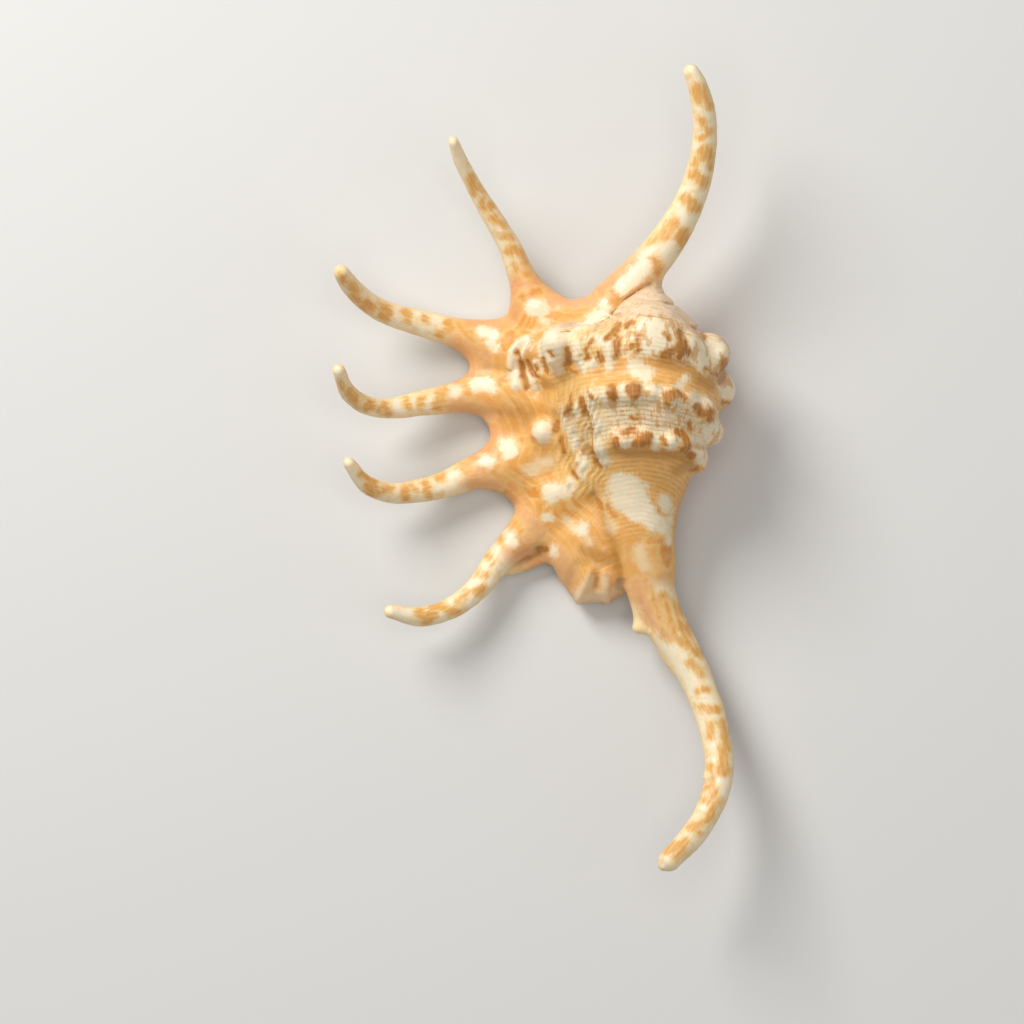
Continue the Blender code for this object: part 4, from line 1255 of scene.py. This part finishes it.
def add_node(tree, kind, inputs, **settings):
    """Add one node, apply its settings, and fill its inputs from values or from other nodes' sockets."""
    made = tree.nodes.new(kind)
    for name, value in settings.items():
        setattr(made, name, value)
    for key, value in inputs.items():
        if isinstance(value, bpy.types.NodeSocket):
            tree.links.new(value, made.inputs[key])
        else:
            made.inputs[key].default_value = value
    return made


LIP_TAN = "#E8A34C"
LIP_LIGHT = "#F0C07C"
LIP_PEACH = "#E7AA76"
NECK_AMBER = "#EDB262"
NECK_DEEP = "#CF8A38"
CHALK_WHITE = "#F4E0B6"
FINGER_CREAM = "#F9EACC"
FINGER_SIDE = "#F6D89C"
OCHRE_LIGHT = "#EEC378"
FINGER_OCHRE = "#E0A04A"
MARK_ORANGE = "#DC8F38"
MARK_BROWN = "#B27026"
MARK_TAN = "#D69A48"
PATCH_WHITE = "#F5E5C6"
SPIRE_BEIGE = "#EACFAC"
# Golden brown of the painted shade in the hollows and valleys.
PAINTED_SHADE_GOLD = "#BC8438"
GLAZE_CREAM = "#F3DDBD"
GLAZE_PEACH = "#E9AE84"
THROAT_PEACH = "#D08A62"
# Brown of the painted shade in the hollows, and of the suture line.
SHADE_AND_SUTURE_BROWN = "#AC7430"
SEAM_BROWN = "#5E3D20"

# %% Shell material
finish = bpy.data.materials.new("aragonite shell, satin back and glazed underside")
finish.use_nodes = True
tree = finish.node_tree
surface = tree.nodes["Principled BSDF"]
read = {}
for name in attributes:
    read[name] = add_node(tree, "ShaderNodeAttribute", {}, attribute_name=name).outputs["Fac"]
place = add_node(tree, "ShaderNodeTexCoord", {}).outputs["Object"]


def noise_of(vector, scale, detail=3.0, roughness=0.55):
    """Noise of a place, where scale is bumps in each unit of it."""
    inputs = {"Vector": vector, "Scale": scale, "Detail": detail, "Roughness": roughness}
    return add_node(tree, "ShaderNodeTexNoise", inputs).outputs["Fac"]


def calculate(operation, *values):
    """One step of arithmetic on numbers or sockets."""
    return add_node(tree, "ShaderNodeMath", dict(enumerate(values)), operation=operation).outputs[0]


def fade(value, low, high, to_low=0.0, to_high=1.0):
    """Smooth step from to_low to to_high as the value goes from low to high."""
    inputs = {"Value": value, "From Min": low, "From Max": high, "To Min": to_low, "To Max": to_high}
    return add_node(tree, "ShaderNodeMapRange", inputs, interpolation_type="SMOOTHSTEP").outputs["Result"]


def vector_of(*parts):
    """A vector from three numbers or sockets."""
    return add_node(tree, "ShaderNodeCombineXYZ", dict(enumerate(parts))).outputs[0]


def layered(*layers):
    """A colour with others laid over it in turn. The first is a colour, and the rest are a colour and its
    amount. A colour is a hex code or a socket."""
    colour, *others = layers
    for above, amount in others:
        under, over = (linear(one) if isinstance(one, str) else one for one in (colour, above))
        mix = add_node(tree, "ShaderNodeMix", {0: amount, 6: under, 7: over}, data_type="RGBA")
        colour = mix.outputs[2]
    return colour


def plus(*values):
    """Sum of any number of values."""
    total = values[0]
    for value in values[1:]:
        total = calculate("ADD", total, value)
    return total


def times(*values):
    """Product of any number of values."""
    total = values[0]
    for value in values[1:]:
        total = calculate("MULTIPLY", total, value)
    return total


def spread(x_name, x_size, y_name, y_size, layer=0.0):
    """A place in two growth coordinates, each divided by the size that its marks have along it."""
    return vector_of(times(read[x_name], 1 / x_size), times(read[y_name], 1 / y_size), layer)


def swing(noise, amount):
    """Noise turned to go from about -amount / 2 to amount / 2."""
    return times(plus(noise, -0.5), amount)


# %% [markdown]
# ### Noises
# Three noises are plain ones, with bumps 14, 2.6 and 0.8 mm apart. The others are stretched along the growth
# coordinates, so that their streaks run along the cords, along the growth lines or along a finger. Three
# sums of them make the edges of the marks ragged, each with its own grain.

# %% Noises
BROAD = 14.0
MEDIUM = 2.6
FINE = 0.8

broad = noise_of(place, 1 / MM / BROAD)
medium = noise_of(place, 1 / MM / MEDIUM, 4.0, 0.6)
fine = noise_of(place, 1 / MM / FINE)
cord_noise = noise_of(spread("around", 2.4, "spiral", 0.6), 1.0)
growth_noise = noise_of(spread("around", 0.55, "spiral", 4.0), 1.0)
lip_growth = noise_of(spread("edge_distance", 1.5, "lip_turn", 14.0), 1.0, 4.0, 0.6)
lip_cord_noise = noise_of(spread("edge_distance", 9.0, "lip_turn", 0.8), 1.0)
lip_lines = noise_of(spread("edge_distance", 0.5, "lip_turn", 6.0), 1.0, 2.0)
finger_streak = noise_of(spread("finger_along", 3.0, "finger_side", 0.24, read["finger_seed"]), 1.0)
finger_bands = noise_of(spread("finger_along", 3.6, "finger_side", 1.6, read["finger_seed"]), 1.0, 4.0, 0.6)
flame_noise = noise_of(spread("around", 1.7, "spiral", 5.0), 1.0, 3.0, 0.5)
upright = plus(swing(medium, 2.6), swing(growth_noise, 2.2), swing(fine, 1.0))
uneven = plus(swing(medium, 2.4), swing(cord_noise, 1.6), swing(fine, 0.8))
lengthwise = plus(swing(medium, 1.6), swing(finger_streak, 2.2), swing(fine, 0.6))

# %% [markdown]
# ### Ground colours
# The lip is tan with paler growth bands, and peach at its edge. The whorl is amber, with chalky bands that
# break up into upright flames, and a beige spire. The fingers are cream on top and yellower on their sides.
# Cords show as darker lines between the ribs, less so where the back is chalky or rough.

# %% Ground colours
lip_colour = layered(
    LIP_TAN,
    (LIP_LIGHT, fade(plus(lip_growth, swing(medium, 0.4)), 0.4, 0.66)),
    (NECK_AMBER, fade(broad, 0.45, 0.66, 0.0, 0.6)),
    (LIP_PEACH, fade(read["edge_distance"], 6.0, 0.0, 0.0, 0.7)),
    (MARK_TAN, fade(lip_cord_noise, 0.56, 0.72, 0.0, 0.3)),
    (NECK_DEEP, fade(lip_lines, 0.54, 0.64, 0.0, 0.18)),
)
chalk_mask = fade(plus(read["chalk"], swing(flame_noise, 2.4), times(upright, 0.3)), 0.5, 0.8)
chalk_colour = layered(CHALK_WHITE, (SPIRE_BEIGE, fade(medium, 0.4, 0.66, 0.0, 0.8)))
back_colour = layered(
    NECK_AMBER,
    (LIP_LIGHT, fade(medium, 0.38, 0.62, 0.0, 0.7)),
    (NECK_DEEP, fade(broad, 0.5, 0.7, 0.0, 0.3)),
    (chalk_colour, times(chalk_mask, fade(read["chalk"], 0.0, 0.3))),
    (SPIRE_BEIGE, read["spire"]),
)
finger_colour = layered(
    FINGER_CREAM,
    (FINGER_SIDE, fade(calculate("ABSOLUTE", read["finger_side"]), 0.6, 1.5)),
    (FINGER_SIDE, fade(medium, 0.45, 0.7, 0.0, 0.6)),
    (OCHRE_LIGHT, fade(finger_bands, 0.5, 0.66, 0.0, 0.6)),
)
finger_share = times(read["finger"], fade(plus(read["edge_distance"], times(lengthwise, 0.8)), -1.0, -8.0))

smooth_share = plus(1.0, times(read["rough"], -0.8))
cord_wave = calculate("SINE", times(read["spiral"], 2 * math.pi / CORD_SPACING))
cord_dark = times(fade(cord_wave, 0.3, -0.9), read["cord_zone"], fade(cord_noise, 0.36, 0.62, 0.05, 0.5))
cord_dark = times(cord_dark, fade(chalk_mask, 0.0, 1.0, 1.0, 0.45), smooth_share)
dashes = times(fade(cord_noise, 0.5, 0.58), fade(growth_noise, 0.46, 0.56), read["chalk"], smooth_share)
ground = layered(
    lip_colour,
    (back_colour, read["whorl"]),
    (NECK_DEEP, cord_dark),
    (NECK_DEEP, times(dashes, 0.55)),
    # painted shade in the hollows and valleys
    (PAINTED_SHADE_GOLD, fade(plus(read["painted_shade_mark"], times(uneven, 0.6)), -1.0, 0.8, 0.0, 0.6)),
    (CHALK_WHITE, fade(plus(read["pale_mark"], uneven), -1.0, 1.2, 0.0, 0.65)),
    (finger_colour, finger_share),
)

# %% [markdown]
# ### Marks and lines
# A mark has a pale rim and a grainy core with a sharp, ragged edge. The distance inside a stroke changes
# slowly over the skin, so the noise that is added to it here sets the edge, as fine as the picture needs.
# Brown flames, painted crevice shade, the suture and the seam come last, and the glaze covers the underside.


# %% Marks and lines over the ground
def mark(name, raggedness, softness, halo_colour, core_colour, grain):
    """Two layers: a pale rim about softness millimetres wide, and a core that is as strong as its grain."""
    inside = plus(read[name], raggedness)
    halo = fade(inside, -softness, 0.2 * softness, 0.0, 0.8)
    core = times(fade(inside, -0.35 * softness, 0.45 * softness), grain)
    return (halo_colour, halo), (core_colour, core)


streaks = fade(finger_streak, 0.36, 0.62, 0.45, 0.9)
patchy = fade(medium, 0.3, 0.58, 0.45, 0.9)
upright_grain = fade(growth_noise, 0.35, 0.55, 0.5, 0.9)
flames = times(fade(flame_noise, 0.53, 0.59), fade(plus(read["chalk"], times(upright, 0.3)), 0.3, 0.8))
flames = times(flames, fade(read["around"], -18.0, -10.0, 0.1, 0.65), smooth_share)
spire_lines = times(fade(plus(cord_noise, swing(growth_noise, 0.6)), 0.54, 0.66), read["spire"], 0.55)
marked = layered(
    ground,
    (OCHRE_LIGHT, times(read["rough"], fade(growth_noise, 0.4, 0.55, 0.3, 0.8))),
    # peach patches, some of them painted shade on the lower side of the lip
    *mark("peach_and_shade_mark", times(lengthwise, 1.6), 1.5, LIP_LIGHT, LIP_PEACH, streaks),
    *mark("ochre_mark", plus(lengthwise, 0.2), 1.5, OCHRE_LIGHT, FINGER_OCHRE, streaks),
    *mark("orange_mark", uneven, 1.5, OCHRE_LIGHT, MARK_ORANGE, patchy),
    *mark("white_mark", times(upright, 1.1), 1.3, CHALK_WHITE, PATCH_WHITE, patchy),
    (MARK_TAN, flames),
    *mark("brown_mark", times(upright, 0.6), 0.8, MARK_TAN, MARK_BROWN, upright_grain),
    (MARK_TAN, times(fade(growth_noise, 0.54, 0.62), read["rough"], 0.35)),
    (MARK_TAN, spire_lines),
    # painted shade, stronger the deeper a point lies in a hollow
    (SHADE_AND_SUTURE_BROWN, fade(read["sunk"], 0.04, 0.5, 0.0, 0.55)),
    (SHADE_AND_SUTURE_BROWN, fade(plus(read["suture_distance"], swing(medium, 1.2)), 0.4, 0.0, 0.0, 0.45)),
    (SEAM_BROWN, fade(plus(read["seam_distance"], swing(medium, 0.6)), 0.22, 0.02, 0.0, 0.7)),
)
glaze = layered(
    GLAZE_CREAM,
    (GLAZE_PEACH, fade(read["edge_distance"], 6.0, 22.0)),
    (PATCH_WHITE, times(read["finger"], 0.6)),
)
colour = layered(marked, (glaze, read["under"]), (THROAT_PEACH, times(read["throat"], 0.7)))

# %% [markdown]
# ### Bump and surface
# Growth lines and the finest cords are under half a millimetre, so they are bump and not geometry. Heights
# are in millimetres. The back is satin and the glaze is nearly polished. The index of refraction of
# aragonite is about 1.53, and light goes a millimetre or so into it.

# %% Bump and surface
LIP_CORD_SPACING = 1.25

ripple_height = fade(read["spiral"], -4.0, 8.0, 0.008, 0.018)
cord_ripple = times(plus(cord_wave, swing(cord_noise, 4.0)), read["cord_zone"], ripple_height)
lip_ripple = calculate("SINE", times(read["lip_turn"], 2 * math.pi / LIP_CORD_SPACING))
height = plus(
    cord_ripple,
    times(lip_growth, read["lip"], 0.16),
    times(plus(times(lip_ripple, 0.12), lip_cord_noise), read["lip"], 0.08),
    times(growth_noise, read["whorl"], 0.09),
    times(growth_noise, read["rough"], 0.10),
    times(finger_streak, read["finger"], 0.08),
    times(fine, 0.05),
)
height = times(height, fade(read["under"], 0.0, 0.8, 1.0, 0.15))
bump = add_node(tree, "ShaderNodeBump", {"Strength": 1.0, "Distance": MM, "Height": height})

tree.links.new(colour, surface.inputs["Base Color"])
tree.links.new(fade(read["under"], 0.0, 1.0, 0.42, 0.2), surface.inputs["Roughness"])
tree.links.new(bump.outputs["Normal"], surface.inputs["Normal"])
surface.inputs["IOR"].default_value = 1.53
surface.inputs["Metallic"].default_value = 0.0
surface.inputs["Subsurface Weight"].default_value = 0.15
surface.inputs["Subsurface Radius"].default_value = (1.0, 0.5, 0.25)
surface.inputs["Subsurface Scale"].default_value = 1.5 * MM
mesh.materials.append(finish)
print("shell material has", len(tree.nodes), "nodes")

# %% [markdown]
# ## Floor, light and camera
# The shell lies on a plain pale floor. The light is broad and soft, strongest from the upper left, so the
# knobs have shade on their lower right. The camera looks straight down on the back, from far enough away
# that the raised fingers aren't enlarged.

# %% Stage
FLOOR_HALF = 2.0
FLOOR_Z = -0.0002
floor_corners = [(x * FLOOR_HALF, y * FLOOR_HALF, FLOOR_Z) for x, y in ((-1, -1), (1, -1), (1, 1), (-1, 1))]
floor_mesh = bpy.data.meshes.new("studio_floor")
floor_mesh.from_pydata(floor_corners, [], [(0, 1, 2, 3)])
floor = bpy.data.objects.new("studio_floor", floor_mesh)
bpy.context.scene.collection.objects.link(floor)
paper = bpy.data.materials.new("matt studio paper")
paper.use_nodes = True
paper.node_tree.nodes["Principled BSDF"].inputs["Base Color"].default_value = linear("#DCDAD6")
paper.node_tree.nodes["Principled BSDF"].inputs["Roughness"].default_value = 0.8
floor_mesh.materials.append(paper)

LAMPS = [  # name, place, size, watts
    ("key light", (-0.50, 0.60, 0.62), 0.5, 8.8),
    ("fill light", (0.70, -0.30, 0.70), 0.8, 1.2),
    ("top light", (0.0, 0.0, 1.3), 1.0, 4.2),
]
for name, spot, size, watts in LAMPS:
    light = bpy.data.lights.new(name, "AREA")
    light.shape = "DISK"
    light.size = size
    light.energy = watts
    lamp = bpy.data.objects.new(name, light)
    lamp.location = spot
    lamp.rotation_euler = Vector(spot).to_track_quat("Z", "Y").to_euler()
    bpy.context.scene.collection.objects.link(lamp)

world = bpy.data.worlds.new("studio")
world.use_nodes = True
world.node_tree.nodes["Background"].inputs["Color"].default_value = (1.0, 1.0, 1.0, 1.0)
world.node_tree.nodes["Background"].inputs["Strength"].default_value = 0.22
bpy.context.scene.world = world
bpy.context.scene.view_settings.view_transform = "Standard"

# %% Camera
CAMERA_HEIGHT = 3.0
FRAME_WIDTH = 0.256
FRAME_MIDDLE = (-0.005625, -0.01075, 0.02)
SENSOR = 36.0
camera_data = bpy.data.cameras.new("camera")
camera_data.sensor_width = SENSOR
camera_data.lens = SENSOR * (CAMERA_HEIGHT - FRAME_MIDDLE[2]) / FRAME_WIDTH
camera = bpy.data.objects.new("camera", camera_data)
camera.location = (FRAME_MIDDLE[0], FRAME_MIDDLE[1], CAMERA_HEIGHT)
bpy.context.scene.collection.objects.link(camera)
bpy.context.scene.camera = camera
print("lens in mm:", round(camera_data.lens, 1))
